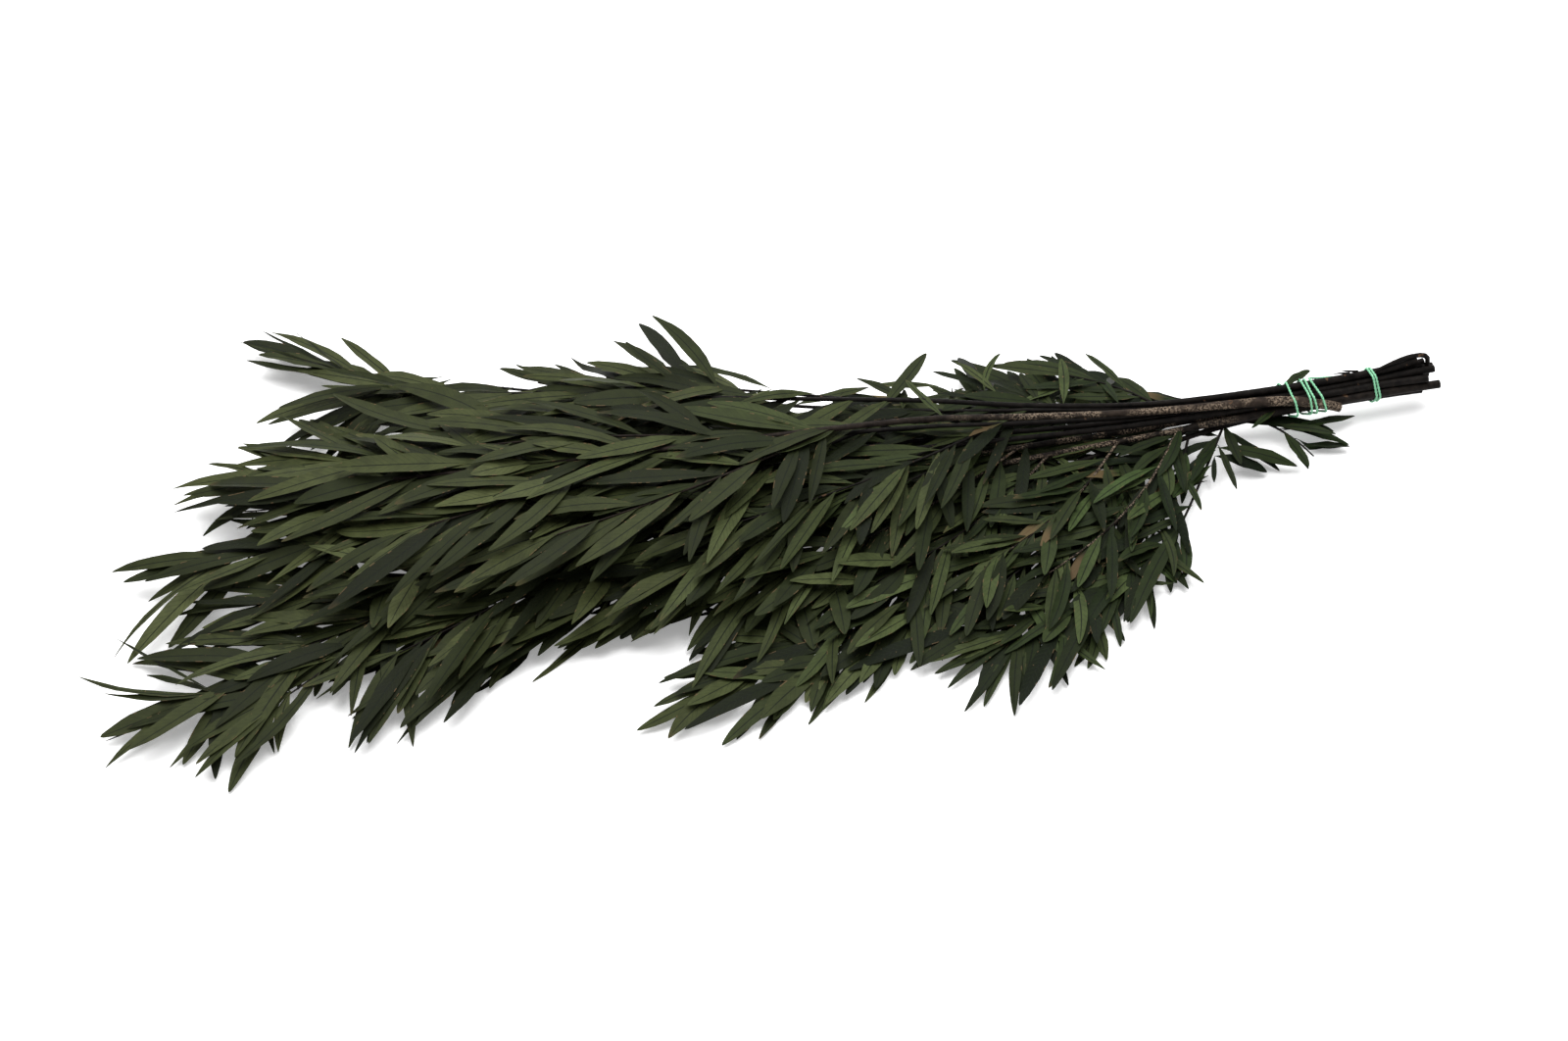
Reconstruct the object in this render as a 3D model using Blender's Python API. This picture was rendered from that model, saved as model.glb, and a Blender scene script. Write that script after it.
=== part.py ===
"""A tied bunch of willow-leaved eucalyptus branches, lying on a table.

Each branch is one body: a woody stem, its side twigs and their leaves, joined as they grow.
One green twine winds round all the stems near their cut ends.
Metres. +X runs along the bunch towards the cut ends, +Y to the back, +Z up.
The table is the plane z = 0, and the origin is the middle of the bunch's footprint on it.
"""

import math
import random
from typing import NamedTuple

import bmesh
import bpy
from mathutils import Vector
from mathutils.bvhtree import BVHTree

MM = 0.001
UP = Vector((0, 0, 1))

# The tie and the bundle of stems that it holds
TIE = Vector((0.3088, 0.1126, 0.024))  # middle of the bundle at the lower turns of twine
BUNDLE_HEADING = math.radians(14)
ALONG = Vector((math.cos(BUNDLE_HEADING), math.sin(BUNDLE_HEADING), 0))
ACROSS = Vector((-math.sin(BUNDLE_HEADING), math.cos(BUNDLE_HEADING), 0))
ROW_COUNTS = (3, 4, 3, 2)  # stems in each row of the bundle, from the lowest
STEM_PITCH = 5.6 * MM
ROW_PITCH = STEM_PITCH * math.sqrt(3) / 2
FAN_START = -24 * MM  # the stems are parallel from here to the upper turns of twine
UPPER_TURNS = 46 * MM
CUT_FLARE = 1.18  # how much wider the bundle is at its cut ends

# Wood
STEM_RADIUS = 2.6 * MM
STEM_TIP_RADIUS = 1.3 * MM
TWIG_RADIUS = 1.5 * MM
TWIG_TIP_RADIUS = 1.1 * MM
STEM_POINTS = 9  # on the free part of a stem
TWIG_POINTS = 4
TWIG_CURVE_BACK = 0.6  # share of its turn that a side twig loses towards its end
MOST_CURVE_BACK = 60  # degrees of that turn, at most

# Leaves
LEAF_LENGTHS = (40 * MM, 84 * MM)  # beside the tie, and at the far tips
LEAF_WIDTHS = (8 * MM, 13 * MM)
LEAF_THICKNESS = 1.1 * MM
LEAF_SPACINGS = (14.5 * MM, 26 * MM)
LEAF_SINK = 2 * MM  # the end leaf grows from this far inside its twig
LEAF_OPENINGS = (40, 25)  # degrees from its twig
FULL_GROWN = 430 * MM  # along the bunch from the tie to the first of the longest leaves
BARE_TWIG = 16 * MM  # no leaf stands nearer than this to a twig's root
LEAFY_FROM = 0.5  # share of a main stem where its own leaves start
ATTEMPTS = 30
CLEARANCE = 0.45 * MM
FREE_FROM = 0.2  # a blade may touch its own branch only below this share of its length
SMALL_LEAF = 52 * MM
# Along a blade, and the half widths there as shares of the full one. A small blade has fewer sections.
SECTIONS = ((0.33, 1.0), (0.68, 0.78))
SMALL_SECTIONS = ((0.42, 1.0),)
LEAF_FOOT = 0.5 * MM  # half width where the blade starts, inside its twig

# The heap that the branches form: its height over the table
HEAP_HEIGHT = 62 * MM
HEAP_MIDDLE = -294 * MM  # along X from the tie
HEAP_HALF_LENGTH = 520 * MM
RIDGE_SLOPE = 0.18  # the ridge bears away from the X axis
FRONT_REACH = 250 * MM
BACK_REACH = 135 * MM
LEAST_FALL = 0.3

LEAST_EDGE = 0.005 * MM

# Twine
TWINE_RADIUS = 0.6 * MM
TWINE_GAP = 0.35 * MM
TWINE_STEP = 24  # degrees between its points


class Branch(NamedTuple):
    """One leafy branch. Plan places are from the tie, and headings are in degrees from +X."""

    name: str
    row: int
    place: int  # in its row of the bundle, from the front
    layer: float  # share of the heap's height at which the branch lies
    tip: tuple
    heading: float
    cut: float  # length of stem past the lower turns of twine
    twigs: tuple  # (share of the stem, turn in degrees, length); a turn to the front is positive


BRANCHES = (
    Branch("branch_low_back", 0, 2, 0.10, (-0.300, -0.015), 172, 0.084,
           ((0.10, -60, 0.06), (0.24, -42, 0.07), (0.50, -30, 0.07), (0.62, 26, 0.08))),
    Branch("branch_low_middle", 0, 1, 0.235, (-0.330, -0.165), 212, 0.080,
           ((0.27, 44, 0.14), (0.40, -24, 0.11), (0.52, 36, 0.11), (0.66, -22, 0.08))),
    Branch("branch_low_front", 0, 0, 0.10, (-0.338, -0.212), 214, 0.076,
           ((0.02, 150, 0.04), (0.08, 62, 0.14), (0.14, 56, 0.16), (0.22, 52, 0.165), (0.32, 34, 0.12),
            (0.44, -20, 0.13), (0.54, 24, 0.11), (0.70, 18, 0.09))),
    Branch("branch_under_front", 1, 0, 0.31, (-0.530, -0.200), 214, 0.086,
           ((0.11, 56, 0.15), (0.18, 50, 0.14), (0.26, 42, 0.15), (0.36, 30, 0.16), (0.48, -20, 0.15),
            (0.60, 20, 0.13), (0.74, 24, 0.10))),
    Branch("branch_far_front", 1, 1, 0.44, (-0.640, -0.234), 214, 0.079,
           ((0.24, 32, 0.18), (0.38, 24, 0.18), (0.50, -20, 0.16), (0.62, 22, 0.15), (0.74, -22, 0.11),
            (0.84, 30, 0.08))),
    Branch("branch_under_middle", 1, 2, 0.53, (-0.560, -0.120), 196, 0.083,
           ((0.30, 28, 0.17), (0.48, -20, 0.15), (0.66, 24, 0.12))),
    Branch("branch_under_back", 1, 3, 0.25, (-0.510, -0.035), 174, 0.088,
           ((0.24, -26, 0.10), (0.44, 20, 0.13), (0.62, -20, 0.11))),
    Branch("branch_short_back", 2, 2, 0.62, (-0.440, 0.010), 160, 0.081,
           ((0.16, -46, 0.06), (0.30, -30, 0.08), (0.52, 22, 0.12), (0.68, -20, 0.09))),
    Branch("branch_far_left", 2, 0, 0.64, (-0.638, -0.138), 190, 0.078,
           ((0.34, 30, 0.18), (0.50, -16, 0.16), (0.64, 24, 0.14), (0.78, -20, 0.09))),
    Branch("branch_long_middle", 2, 1, 0.77, (-0.626, -0.076), 178, 0.085,
           ((0.28, 26, 0.19), (0.42, 22, 0.19), (0.60, -18, 0.14), (0.74, 22, 0.11))),
    Branch("branch_long_back", 3, 1, 0.88, (-0.606, 0.040), 156, 0.074,
           ((0.42, -14, 0.16), (0.56, 18, 0.16), (0.72, -18, 0.10))),
    Branch("branch_top", 3, 0, 0.98, (-0.612, -0.098), 180, 0.030,
           ((0.46, 22, 0.18), (0.54, -15, 0.17), (0.66, 22, 0.14), (0.78, -18, 0.10))),
)


class Shoot(NamedTuple):
    """A stem or a side twig: the points of its axis, their radii, and where its leaves start."""

    points: list
    radii: list
    leafy_from: float


class Leaf(NamedTuple):
    """A blade: where it grows, and how it runs from there."""

    base: Vector
    heading: float
    bend: float  # turn of the heading along the blade
    rise: float  # slope over the heap at the base
    sag: float  # change of that slope along the blade
    roll: float
    length: float
    width: float
    layer: float
    rests: bool  # it lies flat on the table


def clear_scene():
    for obj in list(bpy.data.objects):
        bpy.data.objects.remove(obj)


def material(name, colour, roughness):
    made = bpy.data.materials.new(name)
    made.use_nodes = True
    shader = made.node_tree.nodes["Principled BSDF"]
    shader.inputs["Base Color"].default_value = (*colour, 1)
    shader.inputs["Roughness"].default_value = roughness
    shader.inputs["Metallic"].default_value = 0
    return made


def heap_height(x, y):
    """Height of the heap over a place in plan, from a ridge that falls off to the front and back."""
    along = x - TIE.x
    aside = y - TIE.y - RIDGE_SLOPE * along
    ridge = HEAP_HEIGHT * (1 - ((along - HEAP_MIDDLE) / HEAP_HALF_LENGTH) ** 2)
    reach = BACK_REACH if aside > 0 else FRONT_REACH
    return ridge * max(1 - (aside / reach) ** 2, LEAST_FALL)


def along_arc(start, heading, bend, length):
    """Plan place at the end of an arc that leaves start at a heading and turns by bend."""
    bend = bend if abs(bend) > 1e-6 else 1e-6
    radius = length / bend
    return (
        start[0] + radius * (math.sin(heading + bend) - math.sin(heading)),
        start[1] - radius * (math.cos(heading + bend) - math.cos(heading)),
    )


def bundle_place(branch, along, spread=1.0):
    """Centre of a stem in the bundle, at a length past the lower turns of twine."""
    across = (branch.place - (ROW_COUNTS[branch.row] - 1) / 2) * STEM_PITCH
    over = (branch.row - (len(ROW_COUNTS) - 1) / 2) * ROW_PITCH
    return TIE + ALONG * along + ACROSS * across * spread + UP * over * spread


def eased(share):
    share = min(max(share, 0.0), 1.0)
    return share * share * (3 - 2 * share)


def stem_shoot(branch):
    """The main stem, from its cut end through the bundle and out over the heap."""
    points = [
        bundle_place(branch, branch.cut, CUT_FLARE if branch.cut > UPPER_TURNS else 1.0),
        bundle_place(branch, min(UPPER_TURNS, branch.cut * 0.7)),
        bundle_place(branch, FAN_START),
    ]
    radii = [STEM_RADIUS] * len(points)
    start = points[-1]
    tip = Vector((TIE.x + branch.tip[0], TIE.y + branch.tip[1]))
    heading = math.radians(branch.heading)
    span = (tip - start.xy).length
    controls = (
        start.xy,
        start.xy - ALONG.xy * span * 0.4,
        tip - Vector((math.cos(heading), math.sin(heading))) * span * 0.35,
        tip,
    )
    for step in range(1, STEM_POINTS + 1):
        share = step / STEM_POINTS
        weights = ((1 - share) ** 3, 3 * share * (1 - share) ** 2, 3 * share**2 * (1 - share), share**3)
        place = sum((c * w for c, w in zip(controls, weights)), Vector((0, 0)))
        draped = branch.layer * heap_height(*place)
        height = start.z + (draped - start.z) * eased(share / 0.4)
        points.append(Vector((*place, height)))
        radii.append(STEM_RADIUS + (STEM_TIP_RADIUS - STEM_RADIUS) * share)
    return Shoot(points, radii, LEAFY_FROM)


def length_of(points):
    return sum((b - a).length for a, b in zip(points, points[1:]))


def place_on(points, length):
    """The point at a length along an axis, and the direction there."""
    for a, b in zip(points, points[1:]):
        step = (b - a).length
        if length <= step or b is points[-1]:
            return a.lerp(b, min(length / step, 1.0)), (b - a) / step
        length -= step


def twig_shoot(branch, stem, start, turn, length):
    """A side twig, which leaves the stem at an angle and bends back towards its course."""
    free = stem.points[2:]
    root, direction = place_on(free, start * length_of(free))
    heading = math.atan2(direction.y, direction.x) + math.radians(turn)
    bend = -math.radians(min(max(turn, -MOST_CURVE_BACK), MOST_CURVE_BACK)) * TWIG_CURVE_BACK
    points = [root]
    off_layer = root.z - branch.layer * heap_height(root.x, root.y)
    for step in range(1, TWIG_POINTS):
        share = step / (TWIG_POINTS - 1)
        x, y = along_arc(root, heading, bend * share, length * share)
        height = branch.layer * heap_height(x, y) + off_layer * (1 - share)
        points.append(Vector((x, y, max(height, 2 * TWIG_RADIUS))))
    radii = [
        TWIG_RADIUS + (TWIG_TIP_RADIUS - TWIG_RADIUS) * step / (TWIG_POINTS - 1)
        for step in range(TWIG_POINTS)
    ]
    return Shoot(points, radii, min(BARE_TWIG / length, 0.4))


def by_growth(place, near, far):
    """A size that changes along the bunch, from beside the tie to the far tips."""
    share = min(max((TIE.x - place.x) / FULL_GROWN, 0.0), 1.0)
    return near + (far - near) * share


def leaf_slots(shoot):
    """Lengths along a shoot at which its leaves stand, the one at its end first."""
    whole = length_of(shoot.points)
    spacing = by_growth(shoot.points[-1], *LEAF_SPACINGS)
    count = math.ceil(whole * (1 - shoot.leafy_from) / spacing)
    return [whole - LEAF_SINK - spacing * number for number in range(count)]


def leaf_at(branch, shoot, shoot_number, slot, length, attempt):
    """One way for a leaf to grow from its slot. Later attempts stray further."""
    draw = random.Random(f"{branch.name} {shoot_number} {slot} {attempt}")
    base, direction = place_on(shoot.points, length)
    side = 1 if slot % 2 else -1
    stray = 1 + attempt * 0.05
    opening = by_growth(base, *LEAF_OPENINGS) if slot else 0
    opening = math.radians(opening + draw.uniform(-9, 9) * stray)
    size = draw.uniform(0.82, 1.12) * (1 - 0.012 * attempt) * (1 if slot else 0.86)
    rise = math.radians(draw.uniform(-7, 12)) * stray
    return Leaf(
        base=base,
        heading=math.atan2(direction.y, direction.x) + side * opening,
        bend=-side * math.radians(draw.uniform(0, 26)),
        rise=rise,
        sag=-rise * draw.uniform(0.6, 1.6),
        roll=math.radians(draw.uniform(-14, 14)) * stray,
        length=by_growth(base, *LEAF_LENGTHS) * size,
        width=by_growth(base, *LEAF_WIDTHS) * draw.uniform(0.85, 1.1),
        layer=branch.layer,
        rests=branch.layer < 0.35 and slot % 4 == 1 and attempt < 5,
    )


def blade_frame(leaf, share):
    """The blade's underside in its middle, its axis across and its normal, at a share of its length."""

    def middle(at):
        x, y = along_arc(leaf.base, leaf.heading, leaf.bend * at, leaf.length * at)
        if leaf.rests:
            height = leaf.base.z * (1 - eased(at / SECTIONS[0][0]))
        else:
            height = leaf.base.z + leaf.length * (leaf.rise * at + leaf.sag * at * at / 2)
            height += leaf.layer * (heap_height(x, y) - heap_height(leaf.base.x, leaf.base.y))
        return Vector((x, y, height))

    before, here, after = middle(share - 0.02), middle(share), middle(share + 0.02)
    direction = (after - before).normalized()
    across = direction.cross(UP).normalized()
    normal = across.cross(direction)
    if not leaf.rests:
        roll = leaf.roll * eased(share / SECTIONS[0][0])
        across, normal = (
            across * math.cos(roll) + normal * math.sin(roll),
            normal * math.cos(roll) - across * math.sin(roll),
        )
    return here, across, normal


def lofted(rings, point):
    """Corners and triangles of a closed loft through rings of corners that ends in a point.

    Each side between two rings is split along the same diagonal on both faces of the blade.
    """
    sides = len(rings[0])
    last = sides * (len(rings) - 1)
    corners = [corner for ring in rings for corner in ring] + [point]
    faces = [(0, side + 1, side) for side in range(1, sides - 1)]
    for first in range(0, last, sides):
        for side in range(sides):
            here, there = first + side, first + (side + 1) % sides
            faces += [(here, there, there + sides), (here, there + sides, here + sides)]
    faces += [(last + side, last + (side + 1) % sides, last + sides) for side in range(sides)]
    return corners, faces


def sections_of(leaf):
    """Shares of the blade's length, and its half widths there."""
    sections = SECTIONS if leaf.length > SMALL_LEAF else SMALL_SECTIONS
    return [(share, leaf.width / 2 * wide) for share, wide in sections]


def blade_mesh(leaf):
    """A blade with a flat underside and a rib along the middle of its top."""
    rings = []
    for share, half_width in [(0, LEAF_FOOT), *sections_of(leaf)]:
        here, across, normal = blade_frame(leaf, share)
        if share == 0:
            here -= normal * LEAF_THICKNESS / 2
        rings.append((here - across * half_width, here + normal * LEAF_THICKNESS, here + across * half_width))
    return lofted(rings, blade_frame(leaf, 1)[0])


def space_round(leaf, start):
    """The blade from a share of its length on, swollen by its clearance."""
    sections = sections_of(leaf)
    rings = []
    for share, half_width in [(start, sections[0][1] * start / sections[0][0] + LEAF_FOOT), *sections]:
        here, across, normal = blade_frame(leaf, share)
        side = across * (half_width + CLEARANCE)
        low, high = -normal * CLEARANCE, normal * CLEARANCE
        top = normal * (LEAF_THICKNESS + CLEARANCE)
        rings.append((here - side + low, here - side + high, here + top, here + side + high, here + side + low))
    return lofted(rings, blade_frame(leaf, 1 + 4 * CLEARANCE / leaf.length)[0])


def mesh_object(name, corners, faces, collection):
    mesh = bpy.data.meshes.new(name)
    mesh.from_pydata(corners, [], faces)
    sketch = bmesh.new()
    sketch.from_mesh(mesh)
    bmesh.ops.recalc_face_normals(sketch, faces=sketch.faces)
    sketch.to_mesh(mesh)
    sketch.free()
    obj = bpy.data.objects.new(name, mesh)
    collection.objects.link(obj)
    return obj


def tube(name, points, radii, resolution, collection):
    """A round rod along points, as a closed mesh."""
    curve = bpy.data.curves.new(name, "CURVE")
    curve.dimensions = "3D"
    curve.bevel_depth = 1.0
    curve.bevel_resolution = resolution
    curve.use_fill_caps = True
    spline = curve.splines.new("POLY")
    spline.points.add(len(points) - 1)
    for knot, point, radius in zip(spline.points, points, radii):
        knot.co = (*point, 1)
        knot.radius = radius
    guide = bpy.data.objects.new(name + "_guide", curve)
    collection.objects.link(guide)
    bpy.context.view_layer.update()
    mesh = bpy.data.meshes.new_from_object(guide.evaluated_get(bpy.context.evaluated_depsgraph_get()))
    bpy.data.objects.remove(guide)
    sketch = bmesh.new()
    sketch.from_mesh(mesh)
    bmesh.ops.remove_doubles(sketch, verts=sketch.verts, dist=1e-6)
    bmesh.ops.recalc_face_normals(sketch, faces=sketch.faces)
    sketch.to_mesh(mesh)
    sketch.free()
    mesh.name = name
    obj = bpy.data.objects.new(name, mesh)
    collection.objects.link(obj)
    return obj


def triangles_of(obj):
    obj.data.calc_loop_triangles()
    return (
        [vertex.co.copy() for vertex in obj.data.vertices],
        [tuple(triangle.vertices) for triangle in obj.data.loop_triangles],
    )


def tree_of(shapes):
    """One search tree over the triangles of several shapes."""
    corners, faces = [], []
    for shape_corners, shape_faces in shapes:
        faces += [tuple(index + len(corners) for index in face) for face in shape_faces]
        corners += shape_corners
    return BVHTree.FromPolygons(corners, faces)


def is_clear(leaf, others, own):
    """Whether a blade keeps clear of the table, of the other branches and, past its foot, of its own."""
    if not leaf.rests and min(corner.z for corner in blade_mesh(leaf)[0]) < CLEARANCE:
        return False
    whole, free = (tree_of([space_round(leaf, start)]) for start in (0, FREE_FROM))
    return not (whole.overlap(others) or free.overlap(own))


def grow_leaves(branch, shoots, others, own_wood):
    """The leaves that find room on a branch."""
    own = list(own_wood)
    own_tree = tree_of(own)
    leaves = []
    for shoot_number, shoot in enumerate(shoots):
        for slot, length in enumerate(leaf_slots(shoot)):
            for attempt in range(ATTEMPTS):
                leaf = leaf_at(branch, shoot, shoot_number, slot, length, attempt)
                if is_clear(leaf, others, own_tree):
                    leaves.append(leaf)
                    own.append(blade_mesh(leaf))
                    own_tree = tree_of(own)
                    break
    return leaves


def twine_points():
    """The twine's axis: it hugs the stems in spaced turns, crosses over and winds on at the upper turns."""
    places = [
        ((branch.place - (ROW_COUNTS[branch.row] - 1) / 2) * STEM_PITCH,
         (branch.row - (len(ROW_COUNTS) - 1) / 2) * ROW_PITCH)
        for branch in BRANCHES
    ]
    # (turns wound so far, length past the lower turns' middle)
    course = ((0.0, -12 * MM), (3.0, 16 * MM), (3.9, 44 * MM), (5.6, 48.5 * MM))
    reach = STEM_RADIUS + TWINE_GAP + TWINE_RADIUS
    points = []
    for step in range(int(course[-1][0] * 360 / TWINE_STEP) + 1):
        turns = step * TWINE_STEP / 360
        (t0, a0), (t1, a1) = next((a, b) for a, b in zip(course, course[1:]) if turns <= b[0] + 1e-9)
        along = a0 + (a1 - a0) * (turns - t0) / (t1 - t0)
        angle = -2 * math.pi * turns + math.pi / 2
        outward = (math.cos(angle), math.sin(angle))
        y, z = max(places, key=lambda place: place[0] * outward[0] + place[1] * outward[1])
        points.append(
            TIE + ALONG * along
            + ACROSS * (y + reach * outward[0]) + UP * (z + reach * outward[1])
        )
    return points


def keep_largest_surface(mesh):
    """Fills the small hollows that leaves can seal against their twig, and drops loose scraps."""
    sketch = bmesh.new()
    sketch.from_mesh(mesh)
    bmesh.ops.triangulate(sketch, faces=sketch.faces)
    bmesh.ops.dissolve_degenerate(sketch, edges=sketch.edges, dist=LEAST_EDGE)
    bmesh.ops.triangulate(sketch, faces=sketch.faces)
    unseen = set(sketch.faces)
    surfaces = []
    while unseen:
        front = [unseen.pop()]
        surface = []
        while front:
            face = front.pop()
            surface.append(face)
            edges = [edge for edge in face.edges if len(edge.link_faces) == 2]
            beside = {other for edge in edges for other in edge.link_faces} & unseen
            unseen -= beside
            front += beside
        surfaces.append(surface)
    surfaces.sort(key=len)
    for surface in surfaces[:-1]:
        bmesh.ops.delete(sketch, geom=surface, context="FACES")
    sketch.to_mesh(mesh)
    sketch.free()


def joined(stem, pieces):
    """The stem and its twigs and leaves as one body, with the pieces' own objects removed."""
    union = stem.modifiers.new("Grown together", "BOOLEAN")
    union.operation = "UNION"
    union.operand_type = "COLLECTION"
    union.collection = pieces
    union.solver = "MANIFOLD"
    bpy.context.view_layer.update()
    mesh = bpy.data.meshes.new_from_object(stem.evaluated_get(bpy.context.evaluated_depsgraph_get()))
    stem.modifiers.clear()
    keep_largest_surface(mesh)
    stem.data = mesh
    for piece in list(pieces.objects):
        bpy.data.objects.remove(piece)
    bpy.data.collections.remove(pieces)


def main():
    clear_scene()
    bunch = bpy.data.collections.new("Eucalyptus bunch")
    bpy.context.scene.collection.children.link(bunch)
    foliage = material("Dark green leaves", (0.045, 0.065, 0.028), 0.6)
    twine_green = material("Green twine", (0.25, 0.6, 0.36), 0.55)

    twine_line = twine_points()
    twine = tube("twine", twine_line, [TWINE_RADIUS] * len(twine_line), 0, bunch)
    twine.data.materials.append(twine_green)

    grown = {}
    for branch in BRANCHES:
        stem = stem_shoot(branch)
        shoots = [stem] + [twig_shoot(branch, stem, *twig) for twig in branch.twigs]
        pieces = bpy.data.collections.new(branch.name + " pieces")
        bpy.context.scene.collection.children.link(pieces)
        stem_object = tube(branch.name, stem.points, stem.radii, 1, bunch)
        twigs = [
            tube(f"{branch.name}_twig", shoot.points, shoot.radii, 0, pieces) for shoot in shoots[1:]
        ]
        wood = [triangles_of(obj) for obj in [stem_object, *twigs]]
        grown[branch.name] = [shoots, stem_object, pieces, wood]

    shapes = {name: list(wood) for name, (_, _, _, wood) in grown.items()}
    shapes["twine"] = [triangles_of(twine)]
    count = 0
    for branch in BRANCHES:
        shoots, stem_object, pieces, wood = grown[branch.name]
        others = tree_of([shape for name in shapes if name != branch.name for shape in shapes[name]])
        leafy_shoots = [
            shoot if number else Shoot(shoot.points, shoot.radii, LEAFY_FROM)
            for number, shoot in enumerate(shoots)
        ]
        leaves = grow_leaves(branch, leafy_shoots, others, wood)
        for leaf in leaves:
            corners, faces = blade_mesh(leaf)
            shapes[branch.name].append((corners, faces))
            mesh_object("leaf", corners, faces, pieces)
        count += len(leaves)
        joined(stem_object, pieces)
        stem_object.data.materials.clear()
        stem_object.data.materials.append(foliage)
        stem_object.data.calc_loop_triangles()
        print(branch.name, len(leaves), "leaves", len(stem_object.data.loop_triangles))
    print(count, "leaves")


main()
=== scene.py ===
"""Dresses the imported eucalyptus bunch: leaves, bark and twine in place of its plain solids."""

import math
import random
from typing import NamedTuple

import bpy
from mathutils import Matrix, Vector, kdtree
from mathutils.bvhtree import BVHTree


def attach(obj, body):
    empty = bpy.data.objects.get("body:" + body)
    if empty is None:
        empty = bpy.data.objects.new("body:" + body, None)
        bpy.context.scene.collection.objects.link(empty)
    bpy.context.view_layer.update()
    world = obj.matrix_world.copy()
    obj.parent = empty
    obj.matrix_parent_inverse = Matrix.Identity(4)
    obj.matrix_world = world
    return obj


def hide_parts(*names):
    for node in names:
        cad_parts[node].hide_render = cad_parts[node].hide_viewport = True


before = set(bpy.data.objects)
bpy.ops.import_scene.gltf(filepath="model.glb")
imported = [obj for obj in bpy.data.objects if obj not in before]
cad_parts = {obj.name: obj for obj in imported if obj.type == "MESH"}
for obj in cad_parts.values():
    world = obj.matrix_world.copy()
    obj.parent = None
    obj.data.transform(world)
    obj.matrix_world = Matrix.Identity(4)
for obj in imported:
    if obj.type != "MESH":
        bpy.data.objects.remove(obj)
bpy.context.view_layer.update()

MM = 0.001
UP = Vector((0, 0, 1))

# The camera of the photograph
LOOK = Vector((-0.0102, 0.0276, 0))
ELEVATION = math.radians(45)
CAMERA_DISTANCE = 1.9
CAMERA_PLACE = LOOK + Vector((0, -math.cos(ELEVATION), math.sin(ELEVATION))) * CAMERA_DISTANCE
LENS = 72.675  # focal length in millimetres, on a sensor 36 mm wide

# The bundle: the same numbers as in the part's source
TIE = Vector((0.3088, 0.1126, 0.024))  # middle of the bundle at the lower turns of twine
BUNDLE_HEADING = math.radians(14)
ALONG = Vector((math.cos(BUNDLE_HEADING), math.sin(BUNDLE_HEADING), 0))
ACROSS = Vector((-math.sin(BUNDLE_HEADING), math.cos(BUNDLE_HEADING), 0))
ROW_COUNTS = (3, 4, 3, 2)
STEM_PITCH = 5.6 * MM
ROW_PITCH = STEM_PITCH * math.sqrt(3) / 2
FAN_START = -24 * MM
UPPER_TURNS = 46 * MM
CUT_FLARE = 1.18
SHORT_STEM_SHARE = 0.7  # second point of a stem that ends before the upper turns
STEM_REACHES = (0.4, 0.35)  # how far a stem runs on as the bundle does, and as its tip does
DRAPED_FROM = 0.4  # share of a stem past which it follows its layer of the heap

# Wood
LOWEST_TWIG = 3 * MM
STEM_POINTS = 9
TWIG_POINTS = 4
TWIG_CURVE_BACK = 0.6
MOST_CURVE_BACK = 60
BARK_RADII = (2.3 * MM, 1.8 * MM, 0.7 * MM)  # in the bundle, past it and at a stem's tip
# Three stems are thicker and brown, with warty bark between two places along X:
# (swelling, brown, warty from, warty to)
BROWN_STEMS = {
    "branch_top": (1.3, 0.8, 0.12, 0.35),
    "branch_under_front": (1.15, 0.2, 0.13, 0.27),
    "branch_far_front": (1.1, 0.2, 0.08, 0.24),
}
PLAIN_STEM = (1.0, 0.05, 9.0, 9.0)
BROWN_FROM = 0.15  # brown stems are darker on the leaves' side of this place along X
DARKER_BROWN = 0.45
SPLAY = (1.0, 1.0, 1.35, 1.35)  # how far the cut ends spread, from the bottom row up
SQUEEZE = 0.9  # the twine presses the stems together
# The brown stem lies at the front of the bundle: (along, across, over), in millimetres
BROWN_STEM_END = ((19, -13.0, -3.0), (6, -11.2, 1.2), (-24, -7.5, 6.8))
TWIG_BARK_RADII = (0.9 * MM, 0.45 * MM)

# Loose bark on the bundle: (along, across, over, radius), in millimetres
BARK_STRIPS = (
    ((46, 1, 9, 0.8), (58, 3, 11.5, 1.1), (69, 4, 13, 1.4), (78, 4, 12.3, 1.6), (81.5, 4, 9, 1.7),
     (82, 4, 3, 1.5)),
    ((30, 3, 8.5, 0.8), (24, 3, 10, 0.6), (19, 3, 10.5, 0.2)),
    ((32, 1, 8.5, 0.8), (27, 0, 10.5, 0.6), (23, -1, 11.5, 0.2)),
    ((36, 4, 8, 0.8), (29, 5, 9, 0.6), (25, 6, 9.5, 0.2)),
)

# Leaves, each pair from beside the tie to the far tips
LEAF_LENGTHS = (40 * MM, 84 * MM)
LEAF_WIDTHS = (8 * MM, 13 * MM)
LEAF_SPACINGS = (14.5 * MM, 26 * MM)
LEAF_SINK = 2 * MM
LEAF_OPENINGS = (40, 25)
FULL_GROWN = 430 * MM
BARE_TWIG = 16 * MM
MOST_BARE = 0.4  # share of a short twig
LEAFY_FROM = 0.5
END_LEAF_SIZE = 0.86  # next to those along the shoot
RESTING_LAYER = 0.35  # branches under this layer have leaves that rest on the table
RESTING_ATTEMPTS = 5
ATTEMPTS = 30
STRAY_PER_ATTEMPT = 0.05  # each attempt turns a leaf further and makes it smaller
SMALLER_PER_ATTEMPT = 0.012
FLAT_FROM = 0.33  # share of a resting leaf that comes down to the table

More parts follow.
